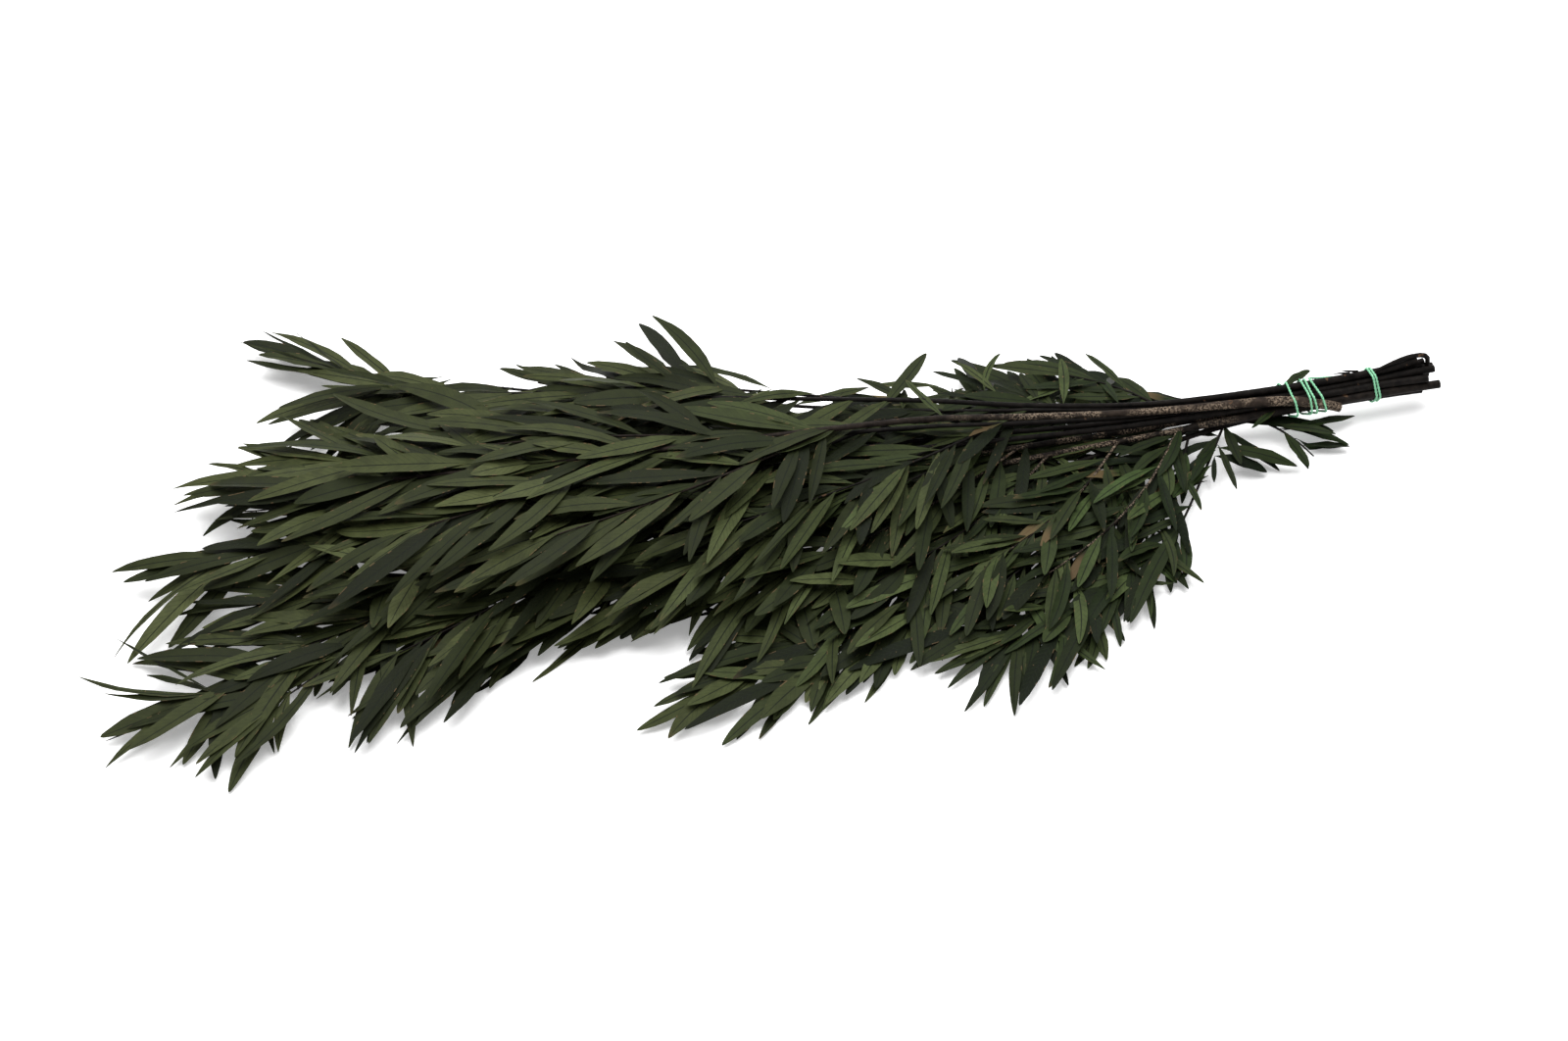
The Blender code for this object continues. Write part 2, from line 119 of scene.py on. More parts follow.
# The heap that the branches form
HEAP_HEIGHT = 62 * MM
HEAP_MIDDLE = -294 * MM
HEAP_HALF_LENGTH = 520 * MM
RIDGE_SLOPE = 0.18
FRONT_REACH = 250 * MM
BACK_REACH = 135 * MM
LEAST_FALL = 0.3

# Twine
TWINE_RADIUS = 0.75 * MM
TWINE_POINTS = 60  # of one turn
TWINE_SLANT = 0.13  # its turns lean: their tops lie nearer to the leaves
# Its course, as (turns wound so far, millimetres past the lower turns' middle). After the lower
# turns it runs along the top to the upper ones
TWINE_COURSE = (
    (0.0, -14), (0.87, -11), (1.87, -0.7), (2.87, 1.3), (3.6, 7), (4.03, 5.4),
    (4.08, 11), (4.2, 34), (4.6, 41.8), (4.87, 43), (5.87, 44.8), (6.1, 45.3),
)
FIRST_UPPER_TURN = 4


class Branch(NamedTuple):
    """One leafy branch. Plan places are from the tie, and headings are in degrees from +X."""

    name: str
    row: int
    place: int
    layer: float
    tip: tuple
    heading: float
    cut: float
    twigs: tuple


BRANCHES = (
    Branch("branch_low_back", 0, 2, 0.10, (-0.300, -0.015), 172, 0.084,
           ((0.10, -60, 0.06), (0.24, -42, 0.07), (0.50, -30, 0.07), (0.62, 26, 0.08))),
    Branch("branch_low_middle", 0, 1, 0.235, (-0.330, -0.165), 212, 0.080,
           ((0.27, 44, 0.14), (0.40, -24, 0.11), (0.52, 36, 0.11), (0.66, -22, 0.08))),
    Branch("branch_low_front", 0, 0, 0.10, (-0.338, -0.212), 214, 0.076,
           ((0.02, 150, 0.04), (0.08, 62, 0.14), (0.14, 56, 0.16), (0.22, 52, 0.165),
            (0.32, 34, 0.12), (0.44, -20, 0.13), (0.54, 24, 0.11), (0.70, 18, 0.09))),
    Branch("branch_under_front", 1, 0, 0.31, (-0.530, -0.200), 214, 0.086,
           ((0.11, 56, 0.15), (0.18, 50, 0.14), (0.26, 42, 0.15), (0.36, 30, 0.16),
            (0.48, -20, 0.15), (0.60, 20, 0.13), (0.74, 24, 0.10))),
    Branch("branch_far_front", 1, 1, 0.44, (-0.640, -0.234), 214, 0.079,
           ((0.24, 32, 0.18), (0.38, 24, 0.18), (0.50, -20, 0.16), (0.62, 22, 0.15),
            (0.74, -22, 0.11), (0.84, 30, 0.08))),
    Branch("branch_under_middle", 1, 2, 0.53, (-0.560, -0.120), 196, 0.083,
           ((0.30, 28, 0.17), (0.48, -20, 0.15), (0.66, 24, 0.12))),
    Branch("branch_under_back", 1, 3, 0.25, (-0.510, -0.035), 174, 0.088,
           ((0.24, -26, 0.10), (0.44, 20, 0.13), (0.62, -20, 0.11))),
    Branch("branch_short_back", 2, 2, 0.62, (-0.440, 0.010), 160, 0.081,
           ((0.16, -46, 0.06), (0.30, -30, 0.08), (0.52, 22, 0.12), (0.68, -20, 0.09))),
    Branch("branch_far_left", 2, 0, 0.64, (-0.638, -0.138), 190, 0.078,
           ((0.34, 30, 0.18), (0.50, -16, 0.16), (0.64, 24, 0.14), (0.78, -20, 0.09))),
    Branch("branch_long_middle", 2, 1, 0.77, (-0.626, -0.076), 178, 0.085,
           ((0.28, 26, 0.19), (0.42, 22, 0.19), (0.60, -18, 0.14), (0.74, 22, 0.11))),
    Branch("branch_long_back", 3, 1, 0.88, (-0.606, 0.040), 156, 0.074,
           ((0.42, -14, 0.16), (0.56, 18, 0.16), (0.72, -18, 0.10))),
    Branch("branch_top", 3, 0, 0.98, (-0.612, -0.098), 180, 0.030,
           ((0.46, 22, 0.18), (0.54, -15, 0.17), (0.66, 22, 0.14), (0.78, -18, 0.10))),
)


class Shoot(NamedTuple):
    points: list
    leafy_from: float


class Leaf(NamedTuple):
    base: Vector
    heading: float
    bend: float
    rise: float
    sag: float
    roll: float
    length: float
    width: float
    layer: float
    rests: bool
    dry: float = 0.0
    # Added to the leaf's tone: painted light on leaves that lie on top of the heap, painted shade
    # (below zero) on leaves deep in it
    lighter: float = 0.0


def heap_height(x, y):
    """The height of the heap that all branches follow, each at its own share of it."""
    along = x - TIE.x
    aside = y - TIE.y - RIDGE_SLOPE * along
    ridge = HEAP_HEIGHT * (1 - ((along - HEAP_MIDDLE) / HEAP_HALF_LENGTH) ** 2)
    reach = BACK_REACH if aside > 0 else FRONT_REACH
    return ridge * max(1 - (aside / reach) ** 2, LEAST_FALL)


def along_arc(start, heading, bend, length):
    """The plan place at the end of an arc."""
    bend = bend if abs(bend) > 1e-6 else 1e-6
    radius = length / bend
    return (
        start[0] + radius * (math.sin(heading + bend) - math.sin(heading)),
        start[1] - radius * (math.cos(heading + bend) - math.cos(heading)),
    )


def bundle_place(branch, along, spread=1.0):
    across = (branch.place - (ROW_COUNTS[branch.row] - 1) / 2) * STEM_PITCH
    over = (branch.row - (len(ROW_COUNTS) - 1) / 2) * ROW_PITCH
    return TIE + ALONG * along + ACROSS * across * spread + UP * over * spread


def tied_points(branch, end_spread, spread=1.0):
    """A stem's cut end, its place under the upper turns, and where it leaves the bundle."""
    return [
        bundle_place(branch, branch.cut, end_spread if branch.cut > UPPER_TURNS else spread),
        bundle_place(branch, min(UPPER_TURNS, branch.cut * SHORT_STEM_SHARE), spread),
        bundle_place(branch, FAN_START, spread),
    ]


def clamped(value, low=0.0, high=1.0):
    return min(max(value, low), high)


def eased(share):
    share = clamped(share)
    return share * share * (3 - 2 * share)


def stem_shoot(branch):
    points = tied_points(branch, CUT_FLARE)
    start = points[-1]
    tip = Vector((TIE.x + branch.tip[0], TIE.y + branch.tip[1]))
    heading = math.radians(branch.heading)
    span = (tip - start.xy).length
    controls = (
        start.xy,
        start.xy - ALONG.xy * span * STEM_REACHES[0],
        tip - Vector((math.cos(heading), math.sin(heading))) * span * STEM_REACHES[1],
        tip,
    )
    for step in range(1, STEM_POINTS + 1):
        share = step / STEM_POINTS
        left = 1 - share
        weights = (left**3, 3 * share * left**2, 3 * share**2 * left, share**3)
        place = sum((c * w for c, w in zip(controls, weights)), Vector((0, 0)))
        draped = branch.layer * heap_height(*place)
        height = start.z + (draped - start.z) * eased(share / DRAPED_FROM)
        points.append(Vector((*place, height)))
    return Shoot(points, LEAFY_FROM)


def length_of(points):
    return sum((b - a).length for a, b in zip(points, points[1:]))


def place_on(points, length):
    for a, b in zip(points, points[1:]):
        step = (b - a).length
        if length <= step or b is points[-1]:
            return a.lerp(b, min(length / step, 1.0)), (b - a) / step
        length -= step


def twig_shoot(branch, stem, start, turn, length):
    free = stem.points[2:]
    root, direction = place_on(free, start * length_of(free))
    heading = math.atan2(direction.y, direction.x) + math.radians(turn)
    bend = -math.radians(clamped(turn, -MOST_CURVE_BACK, MOST_CURVE_BACK)) * TWIG_CURVE_BACK
    points = [root]
    off_layer = root.z - branch.layer * heap_height(root.x, root.y)
    for step in range(1, TWIG_POINTS):
        share = step / (TWIG_POINTS - 1)
        x, y = along_arc(root, heading, bend * share, length * share)
        height = branch.layer * heap_height(x, y) + off_layer * (1 - share)
        points.append(Vector((x, y, max(height, LOWEST_TWIG))))
    return Shoot(points, min(BARE_TWIG / length, MOST_BARE))


def by_growth(place, near, far):
    return near + (far - near) * clamped((TIE.x - place.x) / FULL_GROWN)


def leaf_slots(shoot):
    whole = length_of(shoot.points)
    spacing = by_growth(shoot.points[-1], *LEAF_SPACINGS)
    count = math.ceil(whole * (1 - shoot.leafy_from) / spacing)
    return [whole - LEAF_SINK - spacing * number for number in range(count)]


def leaf_at(branch, shoot, shoot_number, slot, length, attempt):
    """One attempt at a leaf, at a length along its shoot."""
    draw = random.Random(f"{branch.name} {shoot_number} {slot} {attempt}")
    base, direction = place_on(shoot.points, length)
    side = 1 if slot % 2 else -1
    stray = 1 + attempt * STRAY_PER_ATTEMPT
    opening = by_growth(base, *LEAF_OPENINGS) if slot else 0
    opening = math.radians(opening + draw.uniform(-9, 9) * stray)
    size = draw.uniform(0.82, 1.12) * (1 - SMALLER_PER_ATTEMPT * attempt)
    size *= 1 if slot else END_LEAF_SIZE
    rise = math.radians(draw.uniform(-7, 12)) * stray
    return Leaf(
        base=base,
        heading=math.atan2(direction.y, direction.x) + side * opening,
        bend=-side * math.radians(draw.uniform(0, 26)),
        rise=rise,
        sag=-rise * draw.uniform(0.6, 1.6),
        roll=math.radians(draw.uniform(-14, 14)) * stray,
        length=by_growth(base, *LEAF_LENGTHS) * size,
        width=by_growth(base, *LEAF_WIDTHS) * draw.uniform(0.85, 1.1),
        layer=branch.layer,
        rests=branch.layer < RESTING_LAYER and slot % 4 == 1 and attempt < RESTING_ATTEMPTS,
    )


def blade_frame(leaf, share):
    """Half-way across a blade's underside, at a share of its length: place, axis across, normal."""

    def middle(at):
        x, y = along_arc(leaf.base, leaf.heading, leaf.bend * at, leaf.length * at)
        if leaf.rests:
            height = leaf.base.z * (1 - eased(at / FLAT_FROM))
        else:
            height = leaf.base.z + leaf.length * (leaf.rise * at + leaf.sag * at * at / 2)
            height += leaf.layer * (heap_height(x, y) - heap_height(leaf.base.x, leaf.base.y))
        return Vector((x, y, height))

    before, here, after = (middle(share + aside) for aside in (-0.02, 0, 0.02))
    direction = (after - before).normalized()
    across = direction.cross(UP).normalized()
    normal = across.cross(direction)
    if not leaf.rests:
        roll = leaf.roll * eased(share / FLAT_FROM)
        across, normal = (
            across * math.cos(roll) + normal * math.sin(roll),
            normal * math.cos(roll) - across * math.sin(roll),
        )
    return here, across, normal


# ---- Growing the visible leaves ----

BLADE_SHARES = (0, 0.045, 0.11, 0.2, 0.31, 0.43, 0.55, 0.67, 0.78, 0.87, 0.94, 0.98, 1.0)
BLADE_OUTLINE = (  # (share of its length, share of its half width)
    (0.0, 0.05), (0.05, 0.13), (0.17, 0.5), (0.32, 0.84), (0.48, 0.98), (0.64, 0.98),
    (0.78, 0.84), (0.89, 0.58), (0.95, 0.36), (0.985, 0.2), (1.0, 0.05),
)
STRIP_SHARES = (0.22, 0.45, 0.7, 0.97)
STRIP_WIDTHS = (0.7, 1.0, 0.8, 0.08)
SAME_PLACE = 0.06 * MM
MOST_NEWEST = 24  # blades past which the search tree of all of them is made again
SPARE_ATTEMPTS = 16
LONE_LEAF_SPACING = 20 * MM
# Spare leaves grow in rounds: (number added to the slot, share of a spacing back, most turn and
# droop in degrees, painted light added to the tone, below zero for painted shade). Later rounds
# fill the depth of the heap with leaves in painted shade, darker the deeper they lie
SPARE_ROUNDS = (
    (101, 0.5, 12, 0, 0.0),
    (202, 0.97, 24, 4, -0.1),
    (303, 0.25, 34, 12, -0.3),
    (404, 0.75, 40, 22, -0.4),
    (505, 0.4, 60, 30, -0.4),
)
LEAF_LIFT = 0.45 * MM  # the blade's middle over its underside in the source
LOWEST_SPARE = 0.8 * MM
HEAP_TOP = 64 * MM

# Wood is looked through in steps: how many to a shoot, and which of them count
FOOT_STEPS = (40, range(4, 41))
GAP_WOOD_STEPS = (12, range(1, 12))
HEIGHT_WEIGHT = 0.3  # of a difference in height, next to one that is seen from the camera

# Low leaves under gaps: the tried places, and how far from its wood a gap may lie
GAP_STEP = 4 * MM
GAP_ROWS = (-48, 50)
GAP_COLUMNS = (-98, 55)
GAP_REACH = (14 * MM, 52 * MM)
GAP_MOST_TOWARDS_TIE = -0.4  # along X, for each metre from the wood to the gap
GAP_LEAF_HEIGHT = 9 * MM
GAP_LEAF_WIDTH = 10.5  # mm
GAP_LEAF_BEND = 7  # degrees
# Painted shade: the low leaves in the gaps get a darker tone
GAP_LEAF_PAINTED_SHADE = -0.15
GAP_OVERREACH = 1.8  # the leaf's length, with the way to the gap as 1

# The heap's outline, as places where a line of sight over its edge meets the table, in millimetres
HEAP_OUTLINE = (
    (304, 114), (346, 120), (339, 91), (305, 69), (252, 66), (232, 49), (231, 20), (239, -27),
    (199, -41), (188, -77), (176, -97), (155, -109), (125, -132), (90, -128), (74, -98), (49, -91),
    (6, -130), (-42, -154), (-96, -142), (-82, -98), (-51, -64), (-101, -72), (-129, -79),
    (-168, -85), (-212, -156), (-256, -156), (-264, -115), (-290, -100), (-301, -139), (-318, -187),
    (-348, -168), (-391, -170), (-395, -132), (-352, -98), (-390, -92), (-387, -68), (-359, -44),
    (-409, -21), (-408, -8), (-346, 10), (-359, 16), (-313, 30), (-383, 49), (-336, 72), (-349, 92),
    (-337, 119), (-286, 139), (-360, 187), (-342, 202), (-291, 195), (-274, 161), (-213, 152),
    (-157, 138), (-182, 164), (-168, 176), (-110, 191), (-95, 217), (-47, 147), (8, 121), (20, 143),
    (80, 181), (72, 134), (97, 139), (94, 172), (127, 180), (167, 176), (199, 156), (223, 141),
    (298, 159),
)
OUTLINE_SIDES = [
    tuple(value / 1000 for value in start + end)
    for start, end in zip(HEAP_OUTLINE, HEAP_OUTLINE[1:] + HEAP_OUTLINE[:1])
]
EDGE_LEAF_LENGTH = 0.86
EDGE_LEAF_WIDTH = 0.62

# Single leaves that stand out of the heap. Each has the places on the table where its foot and its
# tip are seen, the height of its tip and its width, all in millimetres, and its bend in degrees
STRAY_LEAVES = (
    (-51, 144, -95, 213, 58, 12, 20),
    (-70, 159, -111, 188, 50, 8, -24),
    (48, 125, 80, 177, 48, 10, 14),
    (-7, 119, 43, 145, 34, 8, 8),
    (11, 114, 32, 143, 34, 6, -12),
    (-287, 152, -358, 188, 44, 3.5, -14),
    (-283, 156, -343, 198, 48, 5, -24),
    (-288, 159, -323, 198, 48, 4, -20),
    (-236, 128, -301, 162, 44, 10, -10),
    (-254, 125, -325, 126, 38, 9, 10),
    (-256, 114, -337, 112, 30, 10, 8),
    (-264, 105, -324, 120, 30, 8, -8),
    (-275, 92, -346, 91, 26, 10, -8),
    (-271, 79, -347, 74, 24, 9, 6),
    (-308, 60, -381, 54, 22, 12, 6),
    (-354, 60, -362, 76, 22, 5, 10),
    (-315, 30, -357, 14, 14, 9, 30),
    (-324, -2, -372, -3, 14, 8, -8),
    (-277, -5, -326, 4, 20, 10, -10),
    (-267, 11, -301, 20, 24, 9, 10),
    (-343, -19, -407, -16, 12, 11, 8),
    (-350, -25, -382, -40, 10, 10, 14),
    (-330, -29, -387, -89, 5, 13, 10),
    (-346, -31, -396, -86, 8, 4.5, 36),
    (-353, -75, -400, -67, 8, 2.6, -12),
    (-323, -52, -360, -41, 16, 8, -16),
    (-330, -77, -370, -90, 8, 9, 8),
    (-337, -95, -375, -98, 8, 5, -6),
    (-353, -108, -397, -112, 10, 6.5, -44),
    (-371, -125, -414, -99, 10, 4.6, -50),
    (-348, -132, -390, -139, 5, 8, 8),
    (-343, -134, -391, -148, 4, 5, -22),
    (-367, -134, -388, -168, 2, 9, 18),
    (-319, -105, -345, -165, 2, 11, 8),
    (-307, -125, -317, -185, 1.5, 11, 8),
    (-311, -100, -295, -157, 2, 9, -14),
    (-299, -104, -293, -156, 2, 9, 26),
    (-288, -87, -287, -109, 4, 6, 0.5),
    (-265, -106, -290, -129, 6, 2.2, 24),
    (-265, -98, -277, -114, 4, 5, 8),
    (-223, -97, -254, -153, 2, 11, 10),
    (-212, -112, -244, -149, 2, 6, 8),
    (-201, -98, -218, -152, 2, 11, 12),
    (-169, -72, -195, -106, 3, 9, 8),
    (-147, -60, -178, -108, 3, 11, 10),
    (-41, -106, -93, -140, 3, 11, -12),
    (-39, -98, -79, -100, 6, 9, 6),
    (-37, -112, -84, -122, 5, 8, 6),
    (9, -115, -45, -151, 2, 11, 6),
    (23, -106, -16, -132, 3, 10, 8),
    (35, -98, 5, -126, 3, 9, 8),
    (64, -66, 25, -113, 5, 11, 8),
    (76, -55, 35, -104, 6, 11, 6),
    (95, -55, 62, -89, 6, 10, 6),
    (103, -51, 74, -82, 7, 10, 8),
    (117, -66, 87, -82, 6, 9, 10),
    (49, -72, 13, -121, 3, 11, 6),
    (109, -72, 77, -97, 4, 9, -10),
    (112, -77, 83, -108, 3, 8, 8),
    (104, -60, 69, -89, 8, 9, -6),
    (76, -60, 53, -98, 4, 11, 8),
    (69, -69, 42, -108, 4, 11, 8),
    (111, -91, 120, -129, 2, 8, 12),
    (105, -94, 92, -126, 2, 8, -10),
    (108, -94, 103, -122, 2, 7, 6),
    (109, -88, 76, -97, 5, 8, -10),
    (111, -85, 83, -108, 3, 7, 8),
    (120, -82, 88, -88, 6, 7, 8),
    (150, -64, 174, -94, 3, 7, 10),
    (146, -69, 152, -106, 2, 7, -14),
    (137, -76, 127, -98, 3, 6, 8),
    (203, 8, 237, -25, 6, 7, 10),
    (175, -22, 220, -25, 8, 5, 6),
    (185, -33, 184, -76, 3, 6, -8),
    (199, -9, 195, -38, 4, 6, 14),
    (214, 37, 228, 28, 6, 5, 10),
    (210, 20, 225, 7, 6, 5, 8),
    (255, 90, 303, 74, 5, 11, -16),
    (252, 85, 284, 69, 4, 10, -14),
    (269, 102, 329, 105, 6, 11, -18),
    (283, 104, 337, 93, 4, 7, -8),
    (304, 113, 344, 119, 6, 8, 6),
    (295, 127, 279, 108, 24, 5, -14),
    (308, 148, 321, 161, 32, 7.5, 8),
    (263, 79, 251, 60, 8, 4, 8),
    (164, 137, 165, 172, 38, 7, 12),
    (196, 134, 185, 156, 26, 6, 10),
    (125, 145, 98, 169, 36, 6, 8),
    (114, 137, 127, 177, 38, 5, -40),
    (149, 132, 138, 158, 34, 7, 10),
    (84, 123, 97, 141, 36, 5, 6),
    (69, 119, 65, 143, 38, 5, 10),
)
STRAY_ARCH = 0.12
SINGLE_LEAF_ROLL = math.radians(6)

# Leaves that lie on top of the heap. Each has the places on the table where its foot and its tip
# are seen and its width, all in millimetres, its bend in degrees, and its dry share, if any
LAID_LEAVES = (
    (-207, 104, -292, 139, 13, -30),
    (-186, 121, -255, 147, 15, 30),
    (-227, 64, -263, 100, 13, -6),
    (-207, 51, -244, 66, 12, -10),
    (-160, 61, -221, 39, 16, -6),
    (-179, 41, -255, 39, 16, -35),
    (-130, 60, -186, 46, 14, -14),
    (-219, 19, -278, 18, 14, -30),
    (-230, 0, -293, 6, 12, -20),
    (-275, 53, -327, 37, 15, -14),
    (-192, 16, -220, -30, 13, -8),
    (-244, -17, -292, -37, 13, -10),
    (-229, -14, -240, -61, 14, 6),
    (-240, -30, -249, -61, 12, 6),
    (-181, -39, -226, -50, 12, -10),
    (-124, -17, -181, -40, 17, 8),
    (-159, -20, -203, -32, 12, 8),
    (-151, 41, -199, 20, 14, -8),
    (-134, 41, -162, 11, 12, -8),
    (-106, 39, -151, 15, 14, -6),
    (-156, 77, -201, 67, 13, 10),
    (-155, 114, -210, 94, 12, 14),
    (-107, 77, -165, 94, 13, -12),
    (-151, 87, -198, 93, 6, -8),
    (3, 114, -76, 126, 15, -14),
    (-70, 69, -121, 89, 12, -10),
    (-67, 93, -112, 100, 10, -6),
    (-37, 85, -94, 83, 12, -6),
    (-72, 67, -146, 47, 12, -25),
    (-28, 78, -63, 47, 12, -8),
    (18, 98, -29, 73, 11, -12),
    (-21, 65, -56, -9, 14, 8),
    (-43, 4, -67, -43, 13, -8),
    (-54, 10, -125, -14, 12, 14),
    (2, 37, -37, 9, 10, 10),
    (-94, -21, -147, -54, 15, 8),
    (14, -9, -16, -44, 14, 8),
    (0, -39, -52, -72, 13, -30),
    (2, -55, -43, -91, 15, 2),
    (-6, -96, -62, -95, 13, -8),
    (-23, -110, -72, -112, 9, 14),
    (-20, -116, -65, -121, 14, -8),
    (7, -85, -23, -131, 14, 6),
    (1, -38, 7, -78, 13, -4),
    (17, -25, 25, -66, 12, -8),
    (36, -34, -7, -23, 10, 8),
    (77, -13, 26, -45, 12, 4),
    (62, -3, 21, -8, 12, 8),
    (42, 6, 13, 25, 13, -8),
    (79, -55, 31, -76, 12, -8),
    (57, -69, 13, -121, 12, 6),
    (66, -67, 33, -104, 12, 6),
    (20, -85, 2, -119, 11, 6),
    (-18, -25, -55, -41, 14, -8),
    (19, 4, -34, -21, 10, 8),
    (-55, -46, -66, -79, 11, 6),
    (226, 124, 179, 98, 7, 14),
    (88, 114, 66, 152, 6, -10),
    (79, 124, 102, 144, 7, 8),
    (56, 94, 31, 78, 8, 8, 0.1),
    (176, 58, 152, 85, 6, -8),
    (205, 75, 163, 82, 8, -6, 0.2),
    (200, 72, 172, 65, 7, 6, 0.6),
    (149, 37, 125, 6, 6, 10, 0.7),
    (128, 11, 135, -5, 4, 8, 1.0),
    (124, 4, 97, -30, 10, 12),
    (127, 15, 89, 0, 9, 12),
    (195, 11, 221, -25, 8, 8),
    (182, 54, 160, 18, 8, 8),
    (129, 55, 119, 25, 7, 6),
    (145, 26, 109, 28, 7, 6),
    (175, 55, 128, 46, 8, -6, 0.1),
    (223, 54, 196, 28, 9, 8),
    (196, 60, 186, 20, 8, 6),
    (148, 18, 142, -25, 8, 6),
    (120, -8, 108, -45, 10, 8),
    (109, 26, 51, -13, 10, 8, 0.3),
    (112, -3, 75, -2, 7, -6),
    (149, -48, 118, -47, 7, 6, 0.05),
    (142, -52, 115, -74, 9, -6),
)
LAID_CLEARANCE = 3.5 * MM
LAID_ARCHES = (0.05, 0.3)
# Painted light: leaves laid on top of the heap get a paler tone
LAID_PAINTED_LIGHT = 0.22
UNDER_MIDDLE = (0.35, 0.5, 0.65)  # shares of a laid leaf at which the heap under it is measured
UNDER_TIP = (0.85, 1.0)
SHOWN_SHARES = (0.3, 0.5, 0.7, 0.9)  # shares of a laid leaf that no other leaf may hide
HIDING_REACH = 90 * MM  # how far a leaf may be from a laid one that it hides

# A dry twiglet past the tips, as points in millimetres
DRY_TWIGLET = (
    ((-270.7, 30.4, 22), (-302.2, 24, 16), (-325.3, 25.9, 10), (-335.1, 27.9, 8), (-340.6, 33.7, 8),
     (-343.7, 41.8, 10)),
    ((-325.3, 25.9, 10), (-328, 21.4, 7), (-328.7, 18.6, 4)),
    ((-335.1, 27.9, 8), (-339.8, 25.7, 6), (-344, 25.1, 5)),
)
DRY_TWIGLET_RADIUS = 0.4 * MM

# Thin twigs in front that the solids leave out: share of the stem, turn in degrees and length
SPARE_TWIGS = {
    "branch_low_front": ((0.40, 48, 0.12), (0.27, 60, 0.15)),
    "branch_under_front": ((0.52, 30, 0.14),),
    "branch_low_middle": ((0.14, 30, 0.10),),
}


def packed_leaves(branch, shoots):
    """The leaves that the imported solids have, found again by their tips."""
    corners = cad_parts[branch.name].data.vertices
    known = kdtree.KDTree(len(corners))
    for number, corner in enumerate(corners):
        known.insert(corner.co, number)
    known.balance()
    found = []
    for shoot_number, shoot in enumerate(shoots):
        for slot, length in enumerate(leaf_slots(shoot)):
            for attempt in range(ATTEMPTS):
                leaf = leaf_at(branch, shoot, shoot_number, slot, length, attempt)
                if known.find(blade_frame(leaf, 1)[0])[2] < SAME_PLACE:
                    corners_in = list(map(in_outline, strip_of(leaf)[0]))
                    if not all(corners_in):
                        leaf = leaf._replace(
                            length=leaf.length * EDGE_LEAF_LENGTH,
                            width=leaf.width * EDGE_LEAF_WIDTH,
                        )
                    if sum(corners_in) > 2:
                        found.append(leaf)
                    break
    return found


def strip_of(leaf):
    """A blade as a bare strip of triangles, to try whether it has room."""
    corners = []
    for share, wide in zip(STRIP_SHARES, STRIP_WIDTHS):
        here, across, _ = blade_frame(leaf, share)
        side = across * leaf.width / 2 * wide
        corners += [here - side, here + side]
    faces = []
    for first in range(0, len(corners) - 2, 2):
        faces += [(first, first + 1, first + 3), (first, first + 3, first + 2)]
    return corners, faces


def tree_of(strips):
    corners, faces = [], []
    for strip_corners, strip_faces in strips:
        faces += [tuple(index + len(corners) for index in face) for face in strip_faces]
        corners += strip_corners
    return BVHTree.FromPolygons(corners, faces)


class Blades:
    """All blades so far, as search trees: one of most of them, and one of the newest."""

    def __init__(self, leaves_of):
        self.strips = [strip_of(leaf) for leaves in leaves_of.values() for leaf in leaves]
        self.newest = []
        self.trees = [tree_of(self.strips)]

    def add(self, strip):
        self.newest.append(strip)
        if len(self.newest) > MOST_NEWEST:
            self.strips += self.newest
            self.newest = []
            self.trees = [tree_of(self.strips)]
        else:
            self.trees[1:] = [tree_of(self.newest)]


def seen_place(point):
    """Where a line of sight through a point meets the table."""
    return (CAMERA_PLACE + (point - CAMERA_PLACE) * CAMERA_PLACE.z / (CAMERA_PLACE.z - point.z)).xy


def over_seen_place(place, height):
    """The point at a height that covers a place on the table."""
    return CAMERA_PLACE.lerp(Vector((*place, 0)), 1 - height / CAMERA_PLACE.z)


def in_outline(point):
    x, y = seen_place(point)
    crossings = 0
    for x0, y0, x1, y1 in OUTLINE_SIDES:
        if (y0 > y) != (y1 > y) and x < x0 + (x1 - x0) * (y - y0) / (y1 - y0):
            crossings += 1
    return crossings % 2 == 1


def inside_heap(corners):
    heights = [corner.z for corner in corners]
    return min(heights) > LOWEST_SPARE and max(heights) < HEAP_TOP and all(map(in_outline, corners))


def hides(blade, middle, shown):
    """Whether a blade stands between the camera and one of the points to be shown."""
    for point in shown:
        if (point - middle).length < HIDING_REACH:
            sight = point - CAMERA_PLACE
            if blade.ray_cast(CAMERA_PLACE, sight.normalized(), sight.length)[0]:
                return True
    return False


def spare_leaf(branch, shoot, shoot_number, slot, length, attempt, number, turn, droop, lighter):
    leaf = leaf_at(branch, shoot, shoot_number, slot + number, length, attempt)
    draw = random.Random(f"{branch.name} {shoot_number} {slot} {number} {attempt} spare")
    return leaf._replace(
        rests=False,
        heading=leaf.heading + math.radians(draw.uniform(-turn, turn)),
        bend=leaf.bend * draw.uniform(-0.6, 1.9),
        rise=leaf.rise - math.radians(droop),
        length=leaf.length * draw.uniform(0.8, 1.05),
        width=leaf.width * draw.uniform(0.75, 1.0),
        # The round's painted shade, lowering the leaf's tone
        lighter=lighter,
    )


